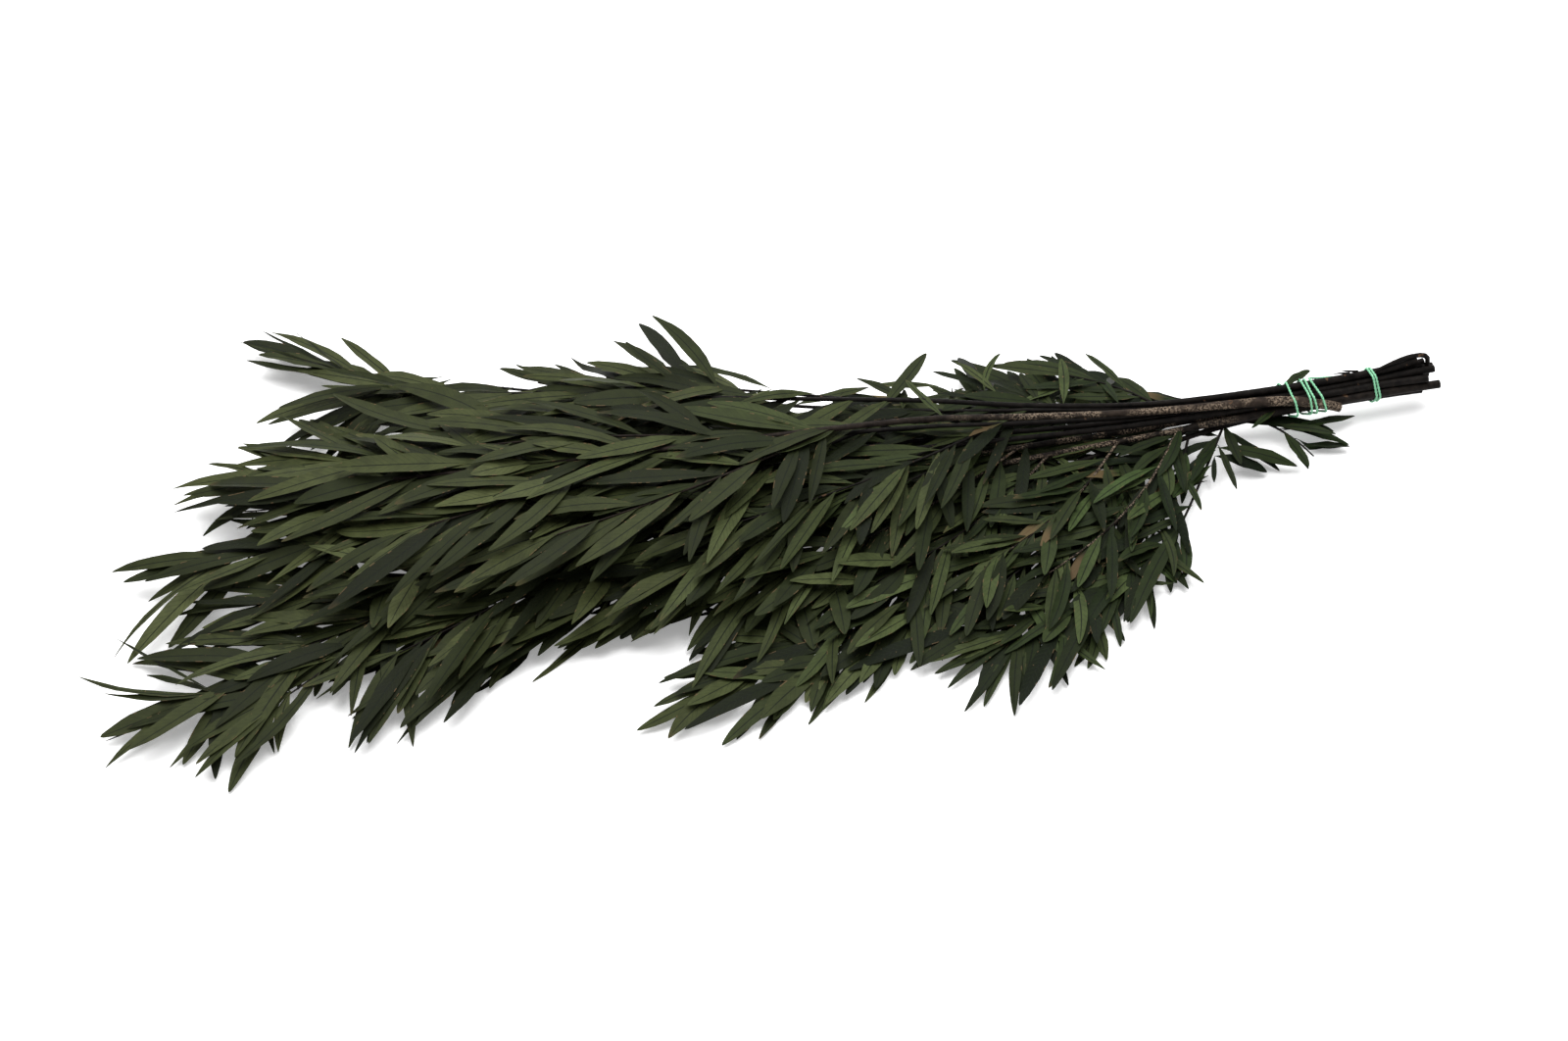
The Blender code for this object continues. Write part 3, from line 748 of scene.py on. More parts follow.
def grow_spare_leaves(shoots_of, leaves_of, shown):
    """More leaves between the others, each where its blade crosses none and hides no laid one."""
    blades = Blades(leaves_of)

    def has_room(strip):
        if not inside_heap(strip[0]):
            return False
        own = tree_of([strip])
        crosses = any(own.overlap(tree) for tree in blades.trees)
        return not crosses and not hides(own, strip[0][2], shown)

    for branch in BRANCHES:
        for shoot_number, shoot in enumerate(shoots_of[branch.name]):
            lengths = leaf_slots(shoot)
            spacing = lengths[0] - lengths[1] if len(lengths) > 1 else LONE_LEAF_SPACING
            for slot, length in enumerate(lengths):
                for number, back, *habit in SPARE_ROUNDS:
                    place = length - spacing * back
                    for attempt in range(SPARE_ATTEMPTS):
                        leaf = spare_leaf(
                            branch, shoot, shoot_number, slot, place, attempt, number, *habit)
                        strip = strip_of(leaf)
                        if has_room(strip):
                            leaves_of[branch.name].append(leaf)
                            blades.add(strip)
                            break


def wood_places(shoots_of, steps, kept):
    """Places in equal steps along all wood, each with the name of its branch."""
    return [
        (name, place_on(shoot.points, length_of(shoot.points) * step / steps)[0])
        for name, shoots in shoots_of.items() for shoot in shoots for step in kept
    ]


def gap_leaf(wood, point):
    """The name of a branch and a low leaf of it that grows out under a point, or None."""
    for name, base in sorted(wood, key=lambda found: (found[1] - point).length):
        reach = (point - base).xy
        if reach.x > GAP_MOST_TOWARDS_TIE * reach.length:
            continue
        if not GAP_REACH[0] < reach.length < GAP_REACH[1]:
            continue
        tip = base.lerp(point, GAP_OVERREACH)
        tip.z = GAP_LEAF_HEIGHT
        leaf = leaf_to(base, tip, STRAY_ARCH, GAP_LEAF_WIDTH, GAP_LEAF_BEND)
        if inside_heap(strip_of(leaf)[0]):
            # A gap leaf lies low in the heap, so its tone gets painted shade
            return name, leaf._replace(lighter=GAP_LEAF_PAINTED_SHADE)
    return None


def fill_gaps(shoots_of, leaves_of):
    """Low leaves where the table would be seen between the others."""
    wood = wood_places(shoots_of, *GAP_WOOD_STEPS)
    blades = Blades(leaves_of)
    for across in range(*GAP_ROWS):
        for along in range(*GAP_COLUMNS):
            place = Vector((along, across, 0)) * GAP_STEP
            if not in_outline(place):
                continue
            sight = (place - CAMERA_PLACE).normalized()
            if any(tree.ray_cast(CAMERA_PLACE, sight)[0] for tree in blades.trees):
                continue
            grown = gap_leaf(wood, over_seen_place(place.xy, GAP_LEAF_HEIGHT))
            if grown:
                name, leaf = grown
                leaves_of[name].append(leaf)
                blades.add(strip_of(leaf))


def leaf_to(base, tip, arch, width, bend, dry=None):
    """A leaf between two points, with its width in millimetres and its bend in degrees."""
    bend = math.radians(bend)
    chord = tip.xy - base.xy
    length = chord.length * (bend / 2) / math.sin(bend / 2)
    climb = (tip.z - base.z) / length
    return Leaf(
        base=base, heading=math.atan2(chord.y, chord.x) - bend / 2, bend=bend,
        rise=climb + arch, sag=-2 * arch, roll=math.copysign(SINGLE_LEAF_ROLL, bend),
        length=length, width=width * MM, layer=0, rests=False,
        # Laid leaves, the ones given a dry share, get painted light in their tone; other leaves
        # none
        dry=dry, lighter=0 if dry is None else LAID_PAINTED_LIGHT,
    )


def leaf_between(shoots_of, foot, tip, arch, width, bend, dry=None):
    """A leaf out to its tip, from the wood that is seen near its foot and is about as high."""

    def farness(found):
        point = found[1]
        return (seen_place(point) - foot).length + HEIGHT_WEIGHT * abs(point.z - tip.z)

    name, base = min(wood_places(shoots_of, *FOOT_STEPS), key=farness)
    return name, leaf_to(base, tip, arch, width, bend, dry)


def top_of(heap, place):
    """The height of what is seen on top at a place."""
    sight = Vector((*place, 0)) - CAMERA_PLACE
    hit = heap.ray_cast(CAMERA_PLACE, sight.normalized())[0]
    return hit.z if hit else 0.0


def table_place(x, y):
    """A place on the table that is given in millimetres."""
    return Vector((x / 1000, y / 1000))


def stray_leaf(shoots_of, foot_x, foot_y, tip_x, tip_y, height, width, bend):
    foot, tip = table_place(foot_x, foot_y), table_place(tip_x, tip_y)
    return leaf_between(shoots_of, foot, over_seen_place(tip, height * MM), STRAY_ARCH, width, bend)


def laid_leaf(shoots_of, heap, foot_x, foot_y, tip_x, tip_y, width, bend, dry=0):
    foot, tip = table_place(foot_x, foot_y), table_place(tip_x, tip_y)
    under_middle, under_tip = (
        max(top_of(heap, foot.lerp(tip, share)) for share in shares)
        for shares in (UNDER_MIDDLE, UNDER_TIP)
    )
    height = min(under_tip + LAID_CLEARANCE, HEAP_TOP - LAID_CLEARANCE)
    end = over_seen_place(tip, height)
    arch = clamped((under_middle + LAID_CLEARANCE - height) / (end.xy - foot).length, *LAID_ARCHES)
    return leaf_between(shoots_of, foot, end, arch, width, bend, dry)


# ---- Node helpers ----


def fill(tree, node, inputs):
    """Links each input to a socket, or gives it a value."""
    for key, value in dict(inputs).items():
        if isinstance(value, bpy.types.NodeSocket):
            tree.links.new(value, node.inputs[key])
        else:
            node.inputs[key].default_value = value


def add(tree, kind, inputs=(), **settings):
    node = tree.nodes.new(kind)
    for name, value in settings.items():
        setattr(node, name, value)
    fill(tree, node, inputs)
    return node


def flow(tree, kind, inputs=(), **settings):
    """Adds a node and gives its first output."""
    return add(tree, kind, inputs, **settings).outputs[0]


def calc(tree, operation, *values):
    return flow(tree, "ShaderNodeMath", dict(enumerate(values)), operation=operation)


def product(tree, result, *factors):
    for factor in factors:
        result = calc(tree, "MULTIPLY", result, factor)
    return result


def over(tree, value, limit):
    return flow(tree, "FunctionNodeCompare", {0: value, 1: limit}, operation="GREATER_THAN")


def scaled(tree, vector, amount):
    return flow(tree, "ShaderNodeVectorMath", {0: vector, "Scale": amount}, operation="SCALE")


def named(tree, name, kind="FLOAT"):
    return flow(tree, "GeometryNodeInputNamedAttribute", {"Name": name}, data_type=kind)


def stored(tree, geometry, name, value):
    inputs = {"Geometry": geometry, "Name": name, "Value": value}
    return flow(tree, "GeometryNodeStoreNamedAttribute", inputs, data_type="FLOAT", domain="POINT")


def position(tree):
    return flow(tree, "GeometryNodeInputPosition")


def moved(tree, geometry, **how):
    return flow(tree, "GeometryNodeSetPosition", {"Geometry": geometry, **how})


def unevenness(tree, scale, amount):
    """Noise at each point, between minus half and half of the amount."""
    inputs = {"Vector": position(tree), "Scale": scale, "Detail": 2.0}
    noise = flow(tree, "ShaderNodeTexNoise", inputs, noise_dimensions="3D")
    return product(tree, calc(tree, "SUBTRACT", noise, 0.5), amount)


def ring_of(tree, corners, radius):
    return flow(tree, "GeometryNodeCurvePrimitiveCircle", {"Resolution": corners, "Radius": radius})


def swept(tree, curve, ring, **more):
    """The skin of a ring that follows a curve, closed at its ends."""
    inputs = {"Curve": curve, "Profile Curve": ring, "Fill Caps": True, **more}
    return flow(tree, "GeometryNodeCurveToMesh", inputs)


def smooth_guides(tree, given):
    """The guides as smooth curves with evenly spaced points."""
    curve = flow(tree, "GeometryNodeMeshToCurve", {0: given["Guides"]})
    curve = flow(tree, "GeometryNodeCurveSplineType", {"Curve": curve}, spline_type="CATMULL_ROM")
    inputs = {"Curve": curve, "Length": given["Ring spacing"]}
    return flow(tree, "GeometryNodeResampleCurve", inputs, mode="LENGTH")


def new_tree(name, inputs):
    tree = bpy.data.node_groups.new(name, "GeometryNodeTree")
    tree.interface.new_socket("Guides", in_out="INPUT", socket_type="NodeSocketGeometry")
    for label, kind, value in inputs:
        socket = tree.interface.new_socket(label, in_out="INPUT", socket_type=kind)
        if value is not None:
            socket.default_value = value
    tree.interface.new_socket("Mesh", in_out="OUTPUT", socket_type="NodeSocketGeometry")
    return tree, tree.nodes.new("NodeGroupInput").outputs


def close_tree(tree, geometry, material, cut_face=None):
    """Ends a tree with real, smooth faces in their material, and caps in that of a cut face."""
    real = flow(tree, "GeometryNodeRealizeInstances", {"Geometry": geometry})
    done = flow(tree, "GeometryNodeSetShadeSmooth", {"Geometry": real})
    done = flow(tree, "GeometryNodeSetMaterial", {"Geometry": done, "Material": material})
    if cut_face is not None:
        corners = flow(tree, "GeometryNodeInputMeshFaceNeighbors")
        caps = {"Selection": over(tree, corners, MOST_SIDE_CORNERS), "Material": cut_face}
        done = flow(tree, "GeometryNodeSetMaterial", {"Geometry": done, **caps})
    tree.links.new(done, tree.nodes.new("NodeGroupOutput").inputs[0])
    return tree


def made_mesh(name, guides, tree, inputs):
    """Runs a tree on a guide mesh, and gives the plain mesh that it makes as an object."""
    guide = bpy.data.objects.new(name + "_guide", guides)
    bpy.context.scene.collection.objects.link(guide)
    modifier = guide.modifiers.new("Build", "NODES")
    modifier.node_group = tree
    for item in tree.interface.items_tree:
        if item.in_out == "INPUT" and item.name in inputs:
            modifier[item.identifier] = inputs[item.name]
    bpy.context.view_layer.update()
    graph = bpy.context.evaluated_depsgraph_get()
    mesh = bpy.data.meshes.new_from_object(guide.evaluated_get(graph), depsgraph=graph)
    guide.modifiers.clear()
    bpy.data.objects.remove(guide)
    piece = bpy.data.objects.new(name, mesh)
    bpy.context.scene.collection.objects.link(piece)
    return piece


def guide_mesh(name, chains, floats, vectors=()):
    """Open chains of points as a mesh, with one value per point for each named attribute."""
    points = [point for chain in chains for point in chain]
    edges = []
    first = 0
    for chain in chains:
        edges += [(first + number, first + number + 1) for number in range(len(chain) - 1)]
        first += len(chain)
    mesh = bpy.data.meshes.new(name)
    mesh.from_pydata(points, edges, [])
    for label, values in dict(floats).items():
        mesh.attributes.new(label, "FLOAT", "POINT").data.foreach_set("value", values)
    for label, values in dict(vectors).items():
        flat = [part for value in values for part in value]
        mesh.attributes.new(label, "FLOAT_VECTOR", "POINT").data.foreach_set("vector", flat)
    return mesh


# ---- Trees ----

SHARP_EDGE = 1.2  # radians between two faces, past which their edge isn't smooth
MOST_SIDE_CORNERS = 4.5  # a face with more corners is the cap of a piece of wood


def leaf_tree():
    """A blade along each guide: thickest at its rib, folded there, with a sharp and wavy margin."""
    tree, given = new_tree("Willow leaves", (
        ("Thickness to half width", "NodeSocketFloat", 0.05),
        ("Margin wave", "NodeSocketFloat", 0.45 * MM),
        ("Waves", "NodeSocketFloat", 2.3),
        ("Margin unevenness", "NodeSocketFloat", 0.3),
        ("Material", "NodeSocketMaterial", None),
    ))
    along, half_width = named(tree, "along"), named(tree, "half_width")
    up = named(tree, "up", "FLOAT_VECTOR")
    outline = add(tree, "ShaderNodeFloatCurve", {"Value": along})
    mapping = outline.mapping.curves[0]
    mapping.points[0].location, mapping.points[1].location = BLADE_OUTLINE[0], BLADE_OUTLINE[-1]
    for place in BLADE_OUTLINE[1:-1]:
        mapping.points.new(*place)
    outline.mapping.update()
    outline = outline.outputs[0]
    uneven = unevenness(tree, 150.0, given["Margin unevenness"])
    taper = product(tree, named(tree, "taper"), calc(tree, "POWER", along, 2.0))
    width_here = product(tree, outline, half_width)
    radius = product(
        tree, width_here, calc(tree, "SUBTRACT", 1.0, taper), calc(tree, "ADD", uneven, 1.0))

    curve = flow(tree, "GeometryNodeMeshToCurve", {0: given["Guides"]})
    curve = flow(tree, "GeometryNodeSetCurveNormal", {"Curve": curve, "Normal": up}, mode="FREE")
    place = add(tree, "ShaderNodeSeparateXYZ", {0: position(tree)})
    ring = stored(tree, ring_of(tree, 4, 1.0), "across", place.outputs["Y"])
    flat = flow(tree, "ShaderNodeCombineXYZ", {
        "X": product(tree, place.outputs["X"], given["Thickness to half width"]),
        "Y": place.outputs["Y"],
    })
    blade = swept(tree, curve, moved(tree, ring, Position=flat), Scale=radius)

    across = named(tree, "across")
    aside = calc(tree, "ABSOLUTE", across)
    fold = product(tree, named(tree, "fold"), aside, width_here)
    turn = product(tree, along, given["Waves"], 2 * math.pi)
    turn = calc(tree, "ADD", turn, product(tree, named(tree, "phase"), 6.28))
    turn = calc(tree, "ADD", turn, product(tree, across, 0.9))
    wave = product(tree, calc(tree, "SINE", turn), given["Margin wave"])
    wave = product(tree, wave, calc(tree, "POWER", aside, 2.0), outline)
    blade = moved(tree, blade, Offset=scaled(tree, up, calc(tree, "ADD", fold, wave)))
    margin = over(tree, flow(tree, "GeometryNodeInputMeshEdgeAngle"), SHARP_EDGE)
    sharp = {"Geometry": blade, "Selection": margin, "Shade Smooth": False}
    blade = flow(tree, "GeometryNodeSetShadeSmooth", sharp, domain="EDGE")
    return close_tree(tree, blade, given["Material"])


def stem_tree():
    """Wood along each guide, with uneven bark."""
    tree, given = new_tree("Stems and twigs", (
        ("Ring spacing", "NodeSocketFloat", 3.0 * MM),
        ("Bark unevenness", "NodeSocketFloat", 0.14 * MM),
        ("Bark scale", "NodeSocketFloat", 420.0),
        ("Material", "NodeSocketMaterial", None),
        ("Cut face", "NodeSocketMaterial", None),
    ))
    curve, thickness = smooth_guides(tree, given), named(tree, "thickness")
    wood = swept(tree, curve, ring_of(tree, 8, 1.0), Scale=thickness)
    bump = product(tree, unevenness(tree, given["Bark scale"], given["Bark unevenness"]), 2.0)
    wood = moved(tree, wood, Offset=scaled(tree, flow(tree, "GeometryNodeInputNormal"), bump))
    return close_tree(tree, wood, given["Material"], given["Cut face"])


def twine_tree():
    """Two twisted yarns along the twine's guide."""
    tree, given = new_tree("Twisted twine", (
        ("Twine radius", "NodeSocketFloat", TWINE_RADIUS),
        ("Turns per metre", "NodeSocketFloat", 230.0),
        ("Ring spacing", "NodeSocketFloat", 0.4 * MM),
        ("Material", "NodeSocketMaterial", None),
    ))
    run = add(tree, "GeometryNodeSplineParameter").outputs["Length"]
    twist = product(tree, run, given["Turns per metre"], 2 * math.pi)
    curve = smooth_guides(tree, given)
    curve = flow(tree, "GeometryNodeSetCurveTilt", {"Curve": curve, "Tilt": twist})
    spot = position(tree)
    place = add(tree, "ShaderNodeSeparateXYZ", {0: spot})
    side = calc(tree, "DIVIDE", calc(tree, "ABSOLUTE", place.outputs["X"]), given["Twine radius"])
    waist = calc(tree, "ADD", product(tree, side, 0.42), 0.6)
    ring = stored(tree, ring_of(tree, 12, given["Twine radius"]), "yarn", side)
    # The ring's side, 0 in the crease between the two yarns, is stored for the material, which
    # paints shade there
    ring = moved(tree, ring, Position=scaled(tree, spot, waist))
    return close_tree(tree, swept(tree, curve, ring), given["Material"])


# ---- Materials ----

# Leaf colours from the darkest blade to the palest: of full-grown leaves and of young ones
OLIVE = (
    (0.0, (0.007, 0.009, 0.0031)), (0.35, (0.018, 0.022, 0.0075)),
    (0.65, (0.035, 0.041, 0.0145)), (1.0, (0.054, 0.062, 0.024)),
)
FRESH = (
    (0.0, (0.003, 0.0055, 0.0017)), (0.35, (0.0075, 0.0130, 0.0036)),
    (0.65, (0.0145, 0.0240, 0.0068)), (1.0, (0.032, 0.052, 0.0160)),
)
RIB_COLOUR = (0.004, 0.006, 0.003, 1)
VEIN_COLOUR = (0.012, 0.018, 0.007, 1)
DRY_COLOUR = (0.105, 0.068, 0.034, 1)
WART_COLOUR = (0.2, 0.152, 0.11, 1)
SCAR_COLOUR = (0.085, 0.048, 0.027, 1)
RIB_HALF_WIDTH = 0.00042
VEIN_SLANT = 1.3
VEINS_PER_METRE = 230.0
DULL = 0.07  # specular level of leaves and bark


def new_material(name):
    made = bpy.data.materials.new(name)
    made.use_nodes = True
    return made, made.node_tree, made.node_tree.nodes["Principled BSDF"]


def read(tree, name):
    node = add(tree, "ShaderNodeAttribute", attribute_type="GEOMETRY", attribute_name=name)
    return node.outputs["Fac"]


def ramp(tree, value, *stops):
    node = add(tree, "ShaderNodeValToRGB", {0: value})
    elements = node.color_ramp.elements
    while len(elements) < len(stops):
        elements.new(0.5)
    for element, (place, colour) in zip(elements, stops):
        element.position = place
        element.color = (*colour, 1)
    return node.outputs[0]


def mixed(tree, blend, amount, first, second):
    inputs = {0: amount, 6: first, 7: second}
    return add(tree, "ShaderNodeMix", inputs, data_type="RGBA", blend_type=blend).outputs[2]


def noise_at(tree, scale, detail=3.0):
    place = add(tree, "ShaderNodeTexCoord").outputs["Object"]
    return flow(tree, "ShaderNodeTexNoise", {"Vector": place, "Scale": scale, "Detail": detail})


def patches(tree, noise, low, high):
    """Nothing where the noise is under the low value, and all of it over the high one."""
    return flow(tree, "ShaderNodeMapRange", {0: noise, 1: low, 2: high})


def give_relief(tree, shader, relief, strength, depth):
    bump = flow(tree, "ShaderNodeBump", {"Strength": strength, "Distance": depth, "Height": relief})
    fill(tree, shader, {"Normal": bump})


def leaf_material():
    made, tree, shader = new_material("Preserved eucalyptus leaf")
    tone, across, along = read(tree, "tone"), read(tree, "across"), read(tree, "along")
    full_grown, fresh = ramp(tree, tone, *OLIVE), ramp(tree, tone, *FRESH)
    colour = mixed(tree, "MIX", read(tree, "young"), full_grown, fresh)
    mottle = noise_at(tree, 130)
    colour = mixed(tree, "MULTIPLY", 0.5, colour, ramp(
        tree, mottle, (0.3, (0.55, 0.55, 0.55)), (0.7, (1.35, 1.35, 1.35))))

    aside = calc(tree, "ABSOLUTE", across)
    from_rib = product(tree, aside, read(tree, "half_width"))
    rib = calc(tree, "LESS_THAN", from_rib, RIB_HALF_WIDTH)
    colour = mixed(tree, "MIX", product(tree, rib, 0.85), colour, RIB_COLOUR)
    run = product(tree, along, read(tree, "blade_length"))
    vein = calc(tree, "SUBTRACT", run, product(tree, from_rib, VEIN_SLANT))
    vein = calc(tree, "PINGPONG", product(tree, vein, VEINS_PER_METRE), 0.5)
    vein = calc(tree, "LESS_THAN", vein, 0.08)
    colour = mixed(tree, "MIX", product(tree, vein, 0.3), colour, VEIN_COLOUR)

    dry_tip = read(tree, "dry_tip")
    dry = calc(tree, "SUBTRACT", calc(tree, "ADD", along, dry_tip), 1.0)
    dry = calc(tree, "DIVIDE", calc(tree, "ADD", dry, product(tree, mottle, 0.1)), 0.25)
    dry = calc(tree, "MINIMUM", calc(tree, "MAXIMUM", dry, 0.0), 1.0)
    dry = product(tree, calc(tree, "GREATER_THAN", dry_tip, 0.001), dry)
    dry_edge = product(
        tree, calc(tree, "GREATER_THAN", aside, 0.9),
        calc(tree, "GREATER_THAN", noise_at(tree, 170, 2.0), 0.62),
    )
    fleck = patches(tree, noise_at(tree, 330, 1.0), 0.79, 0.82)
    dry = calc(tree, "MAXIMUM", calc(tree, "MAXIMUM", dry, fleck), dry_edge)
    colour = mixed(tree, "MIX", product(tree, dry, 0.66), colour, DRY_COLOUR)

    rough = flow(tree, "ShaderNodeMapRange", {0: mottle, 3: 0.5, 4: 0.7})
    fill(tree, shader, {"Base Color": colour, "Roughness": rough, "Specular IOR Level": DULL})
    relief = calc(tree, "ADD", product(tree, rib, -0.6), product(tree, vein, -0.25))
    relief = calc(tree, "ADD", relief, product(tree, noise_at(tree, 900), 0.5))
    give_relief(tree, shader, relief, 0.35, 0.3 * MM)
    return made


def bark_material():
    made, tree, shader = new_material("Dark eucalyptus bark")
    streaks = noise_at(tree, 240, 4.0)
    dark = ramp(tree, streaks, (0.3, (0.0018, 0.0016, 0.0015)), (0.7, (0.008, 0.0066, 0.0058)))
    warm = ramp(tree, streaks, (0.3, (0.010, 0.0065, 0.0048)), (0.7, (0.042, 0.030, 0.0225)))
    colour = mixed(tree, "MIX", read(tree, "brown"), dark, warm)
    wart = patches(tree, noise_at(tree, 900, 3.0), 0.44, 0.62)
    zone = patches(tree, noise_at(tree, 70, 2.0), 0.4, 0.55)
    spots = product(tree, wart, product(tree, zone, read(tree, "warty")))
    colour = mixed(tree, "MIX", spots, colour, WART_COLOUR)
    scar = patches(tree, noise_at(tree, 190, 1.0), 0.74, 0.77)
    colour = mixed(tree, "MIX", product(tree, scar, 0.8), colour, SCAR_COLOUR)
    fill(tree, shader, {"Base Color": colour, "Roughness": 0.65, "Specular IOR Level": DULL})
    relief = calc(tree, "ADD", streaks, product(tree, spots, 0.8))
    give_relief(tree, shader, relief, 0.6, 0.5 * MM)
    return made


def cut_wood_material():
    made, tree, shader = new_material("Cut wood")
    grain = noise_at(tree, 700)
    colour = ramp(tree, grain, (0.3, (0.05, 0.032, 0.018)), (0.7, (0.16, 0.11, 0.065)))
    fill(tree, shader, {"Base Color": colour, "Roughness": 0.8})
    return made


def twine_material():
    made, tree, shader = new_material("Mint green twine")
    fibres = noise_at(tree, 2600, 3.0)
    colour = ramp(tree, fibres, (0.3, (0.13, 0.38, 0.21)), (0.7, (0.28, 0.66, 0.40)))
    # Painted shade: the crease between the two yarns is darkened
    colour = mixed(tree, "MULTIPLY", 0.5, colour, ramp(
        tree, read(tree, "yarn"), (0.0, (0.35, 0.4, 0.38)), (0.5, (1.0, 1.0, 1.0))))
    fill(tree, shader, {"Base Color": colour, "Roughness": 0.55})
    give_relief(tree, shader, fibres, 0.5, 0.2 * MM)
    return made


# ---- Pieces ----

LEAF_TONES = (0.46, 0.25)  # their mean, from the darkest at 0 to the palest at 1, and their spread
DRY_TIP = 0.04  # share of the blade
DRY_TIP_CHANCE = 0.16
MOST_TAPER = 0.7  # share of its width that a full-grown blade may lose towards its tip
YOUNG_NARROWER = 0.13


def leaf_looks(leaf, draw):
    """What the tree and the material read on every point of a blade."""
    young = clamped(by_growth(leaf.base, 1.0, -0.1) + draw.uniform(-0.25, 0.25))
    # The leaf's random tone, with the painted light of leaves on top and the painted shade of deep
    # leaves added
    tone = clamped(draw.gauss(*LEAF_TONES) + leaf.lighter)
    dry_tip = DRY_TIP if draw.random() < DRY_TIP_CHANCE else 0.0
    if draw.random() < 0.004 + 0.03 * young:
        dry_tip = draw.uniform(0.2, 0.8)
    fold = 0.0 if leaf.rests else draw.uniform(0.02, 0.3)
    phase = draw.random()
    taper = MOST_TAPER * (1 - young) * draw.random()
    return {
        "half_width": leaf.width / 2 * (1 - YOUNG_NARROWER * young),
        "blade_length": leaf.length,
        "taper": taper,
        "tone": tone,
        "young": young,
        "dry_tip": 0.0 if leaf.dry is None else leaf.dry or dry_tip,
        "fold": fold,
        "phase": phase,
    }


def leaves_piece(branch, leaves, tree, material):
    draw = random.Random(branch.name + " looks")
    chains, ups, values = [], [], {}
    for leaf in leaves:
        looks = leaf_looks(leaf, draw)
        chain = []
        for share in BLADE_SHARES:
            here, _, normal = blade_frame(leaf, share)
            chain.append(here + normal * LEAF_LIFT)
            ups.append(normal)
            for label, value in {"along": share, **looks}.items():
                values.setdefault(label, []).append(value)
        chains.append(chain)
    guides = guide_mesh(branch.name + "_leaf_guides", chains, values, {"up": ups})
    piece = made_mesh(branch.name + "_leaves", guides, tree, {"Material": material})
    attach(piece, "root")
    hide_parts(branch.name)


def bundle_point(along, across, over):
    """A point of the bundle, in millimetres from the middle of the lower turns."""
    return TIE + (ALONG * along + ACROSS * across + UP * over) * MM


def wood_rods(branch, shoots):
    """A branch's wood as rods: chains of points, each with its radius at every point."""
    swell = BROWN_STEMS.get(branch.name, PLAIN_STEM)[0]
    bundled, free, tip = BARK_RADII
    stem = tied_points(branch, SPLAY[branch.row], SQUEEZE) + shoots[0].points[3:]
    if branch.name == "branch_top":
        stem[:3] = [bundle_point(*place) for place in BROWN_STEM_END]
    rods = [(stem, [bundled * swell] * 3 + [
        (free + (tip - free) * step / STEM_POINTS) * swell for step in range(1, STEM_POINTS + 1)
    ])]
    near, far = TWIG_BARK_RADII
    for shoot in shoots[1:]:
        twig = [point for point in shoot.points if in_outline(point)]
        if len(twig) < 2:
            twig = shoot.points[:2]
        radii = [near + (far - near) * step / (TWIG_POINTS - 1) for step in range(len(twig))]
        rods.append((twig, radii))
    if branch.name == "branch_long_back":
        for strip in BARK_STRIPS:
            points = [bundle_point(*point[:3]) for point in strip]
            rods.append((points, [point[3] * MM for point in strip]))
    if branch.name == "branch_far_left":
        for chain in DRY_TWIGLET:
            points = [Vector(point) * MM for point in chain]
            rods.append((points, [DRY_TWIGLET_RADIUS] * len(chain)))
    return rods


def wood_piece(branch, shoots, tree, bark, cut_wood):
    _, brown, warty_from, warty_to = BROWN_STEMS.get(branch.name, PLAIN_STEM)
    chains, radii = zip(*wood_rods(branch, shoots))
    points = [point for chain in chains for point in chain]
    guides = guide_mesh(branch.name + "_wood_guides", chains, {
        "thickness": [radius for chain in radii for radius in chain],
        "brown": [brown * (1.0 if point.x > BROWN_FROM else DARKER_BROWN) for point in points],
        "warty": [1.0 if warty_from < point.x < warty_to else 0.0 for point in points],
    })
    piece = made_mesh(branch.name + "_wood", guides, tree, {"Material": bark, "Cut face": cut_wood})
    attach(piece, "root")
    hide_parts(branch.name)


def round_stems(rods):
    """The line of a taut twine round rods seen on their ends, each as (across, over, radius)."""
    line = []
    for degrees in range(361):
        angle = math.pi / 2 - math.radians(degrees)
        outward = Vector((math.cos(angle), math.sin(angle), 0))
        across, over, radius = max(
            rods, key=lambda rod: rod[0] * outward.x + rod[1] * outward.y + rod[2])
        line.append(Vector((across, over, 0)) + outward * (radius + TWINE_RADIUS))
    return line


def twine_points():
    rods = []
    for branch in BRANCHES:
        place = bundle_place(branch, 0, SQUEEZE) - TIE
        rods.append((place.dot(ACROSS), place.z, BARK_RADII[0]))
    # The brown stem is the last rod. Its end lies aslant at the front, so the lower turns go round
    # three places of it
    brown_radius = BARK_RADII[0] * BROWN_STEMS["branch_top"][0]
    end, tied, fanning = (Vector(place) * MM for place in BROWN_STEM_END)
    brown_places = (tied, tied.lerp(fanning, 0.5), tied.lerp(end, 0.3))
    brown_rods = [(place.y, place.z, brown_radius) for place in brown_places]
    lower, upper = round_stems(rods[:-1] + brown_rods), round_stems(rods)
    points = []
    for number in range(int(TWINE_COURSE[-1][0] * TWINE_POINTS) + 1):
        turns = number / TWINE_POINTS
        (t0, a0), (t1, a1) = next(
            (a, b) for a, b in zip(TWINE_COURSE, TWINE_COURSE[1:]) if turns <= b[0] + 1e-9)
        line = lower if turns < FIRST_UPPER_TURN else upper
        place = place_on(line, length_of(line) * (turns % 1))[0]
        along = a0 * MM + (a1 * MM - a0 * MM) * (turns - t0) / (t1 - t0)
        along -= TWINE_SLANT * (place.x + place.y)
        points.append(TIE + ALONG * along + ACROSS * place.x + UP * place.y)
    return points


def twine_piece(tree, material):
    guides = guide_mesh("twine_guide", [twine_points()], {})
    piece = made_mesh("twine_yarns", guides, tree, {"Material": material})
    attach(piece, "root")
    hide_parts("twine")


# ---- Studio ----

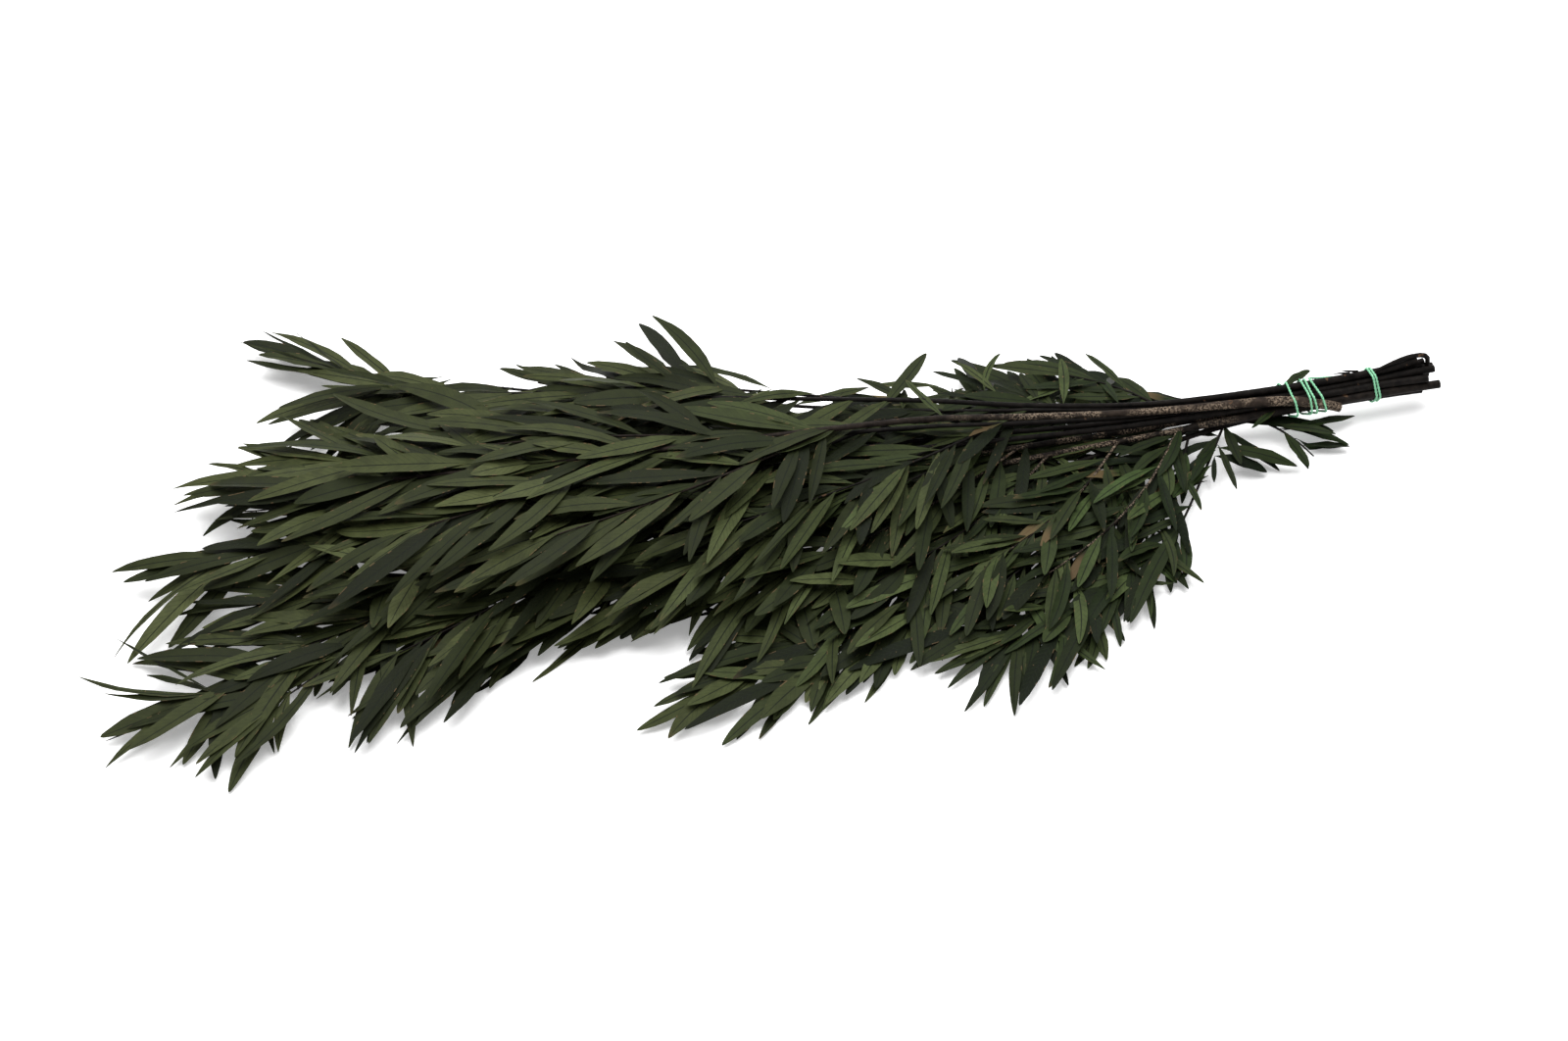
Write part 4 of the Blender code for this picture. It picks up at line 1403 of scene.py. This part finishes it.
LIGHTS = (  # (name, place, side, watts)
    ("Overhead light", (0.0, 0.25, 1.6), 1.6, 49),
    ("Back light", (-0.5, 1.7, 1.0), 1.2, 14),
)
SKY_STRENGTH = 0.42
FLOOR_REACH = 5.0
FLOOR_HEIGHT = -0.2 * MM


def pointed(obj, place, target):
    obj.location = place
    obj.rotation_euler = (target - place).to_track_quat("-Z", "Y").to_euler()
    bpy.context.scene.collection.objects.link(obj)


def studio():
    lens = bpy.data.cameras.new("Camera")
    lens.lens, lens.sensor_width = LENS, 36
    lens.clip_end = 20
    camera = bpy.data.objects.new("Camera", lens)
    pointed(camera, CAMERA_PLACE, LOOK)
    bpy.context.scene.camera = camera

    for name, place, size, power in LIGHTS:
        light = bpy.data.lights.new(name, "AREA")
        light.shape = "SQUARE"
        light.size = size
        light.energy = power
        pointed(bpy.data.objects.new(name, light), Vector(place), Vector((0, 0, 0)))

    world = bpy.data.worlds.new("Studio")
    world.use_nodes = True
    background = world.node_tree.nodes["Background"]
    fill(world.node_tree, background, {"Color": (1, 1, 1, 1), "Strength": SKY_STRENGTH})
    bpy.context.scene.world = world

    paper, tree, shader = new_material("White paper")
    fill(tree, shader, {
        "Base Color": (0.93, 0.93, 0.93, 1), "Roughness": 0.9, "Specular IOR Level": 0.1,
        "Emission Color": (1, 1, 1, 1), "Emission Strength": 0.25,
    })
    mesh = bpy.data.meshes.new("Floor")
    corners = ((-1, -1), (1, -1), (1, 1), (-1, 1))
    mesh.from_pydata(
        [(x * FLOOR_REACH, y * FLOOR_REACH, FLOOR_HEIGHT) for x, y in corners], [], [(0, 1, 2, 3)])
    mesh.materials.append(paper)
    floor = bpy.data.objects.new("Floor", mesh)
    bpy.context.scene.collection.objects.link(floor)
    bpy.context.scene.view_settings.view_transform = "Standard"


def growth():
    """The shoots and the leaves of every branch, by its name."""
    shoots_of, leaves_of = {}, {}
    for branch in BRANCHES:
        stem = stem_shoot(branch)
        shoots_of[branch.name] = [stem] + [twig_shoot(branch, stem, *twig) for twig in branch.twigs]
        leaves_of[branch.name] = packed_leaves(branch, shoots_of[branch.name])
    for row in STRAY_LEAVES:
        name, leaf = stray_leaf(shoots_of, *row)
        leaves_of[name].append(leaf)
    heap = Blades(leaves_of).trees[0]
    shown = []
    for row in LAID_LEAVES:
        name, leaf = laid_leaf(shoots_of, heap, *row)
        leaves_of[name].append(leaf)
        shown += [blade_frame(leaf, share)[0] + UP * MM for share in SHOWN_SHARES]
    for branch in BRANCHES:
        shoots = shoots_of[branch.name]
        for twig in SPARE_TWIGS.get(branch.name, ()):
            shoots.append(twig_shoot(branch, shoots[0], *twig))
    grow_spare_leaves(shoots_of, leaves_of, shown)
    fill_gaps(shoots_of, leaves_of)
    return shoots_of, leaves_of


def main():
    studio()
    shoots_of, leaves_of = growth()
    leaf, bark, cut_wood = leaf_material(), bark_material(), cut_wood_material()
    blades, stems = leaf_tree(), stem_tree()
    for branch in BRANCHES:
        leaves_piece(branch, leaves_of[branch.name], blades, leaf)
        wood_piece(branch, shoots_of[branch.name], stems, bark, cut_wood)
    twine_piece(twine_tree(), twine_material())


main()
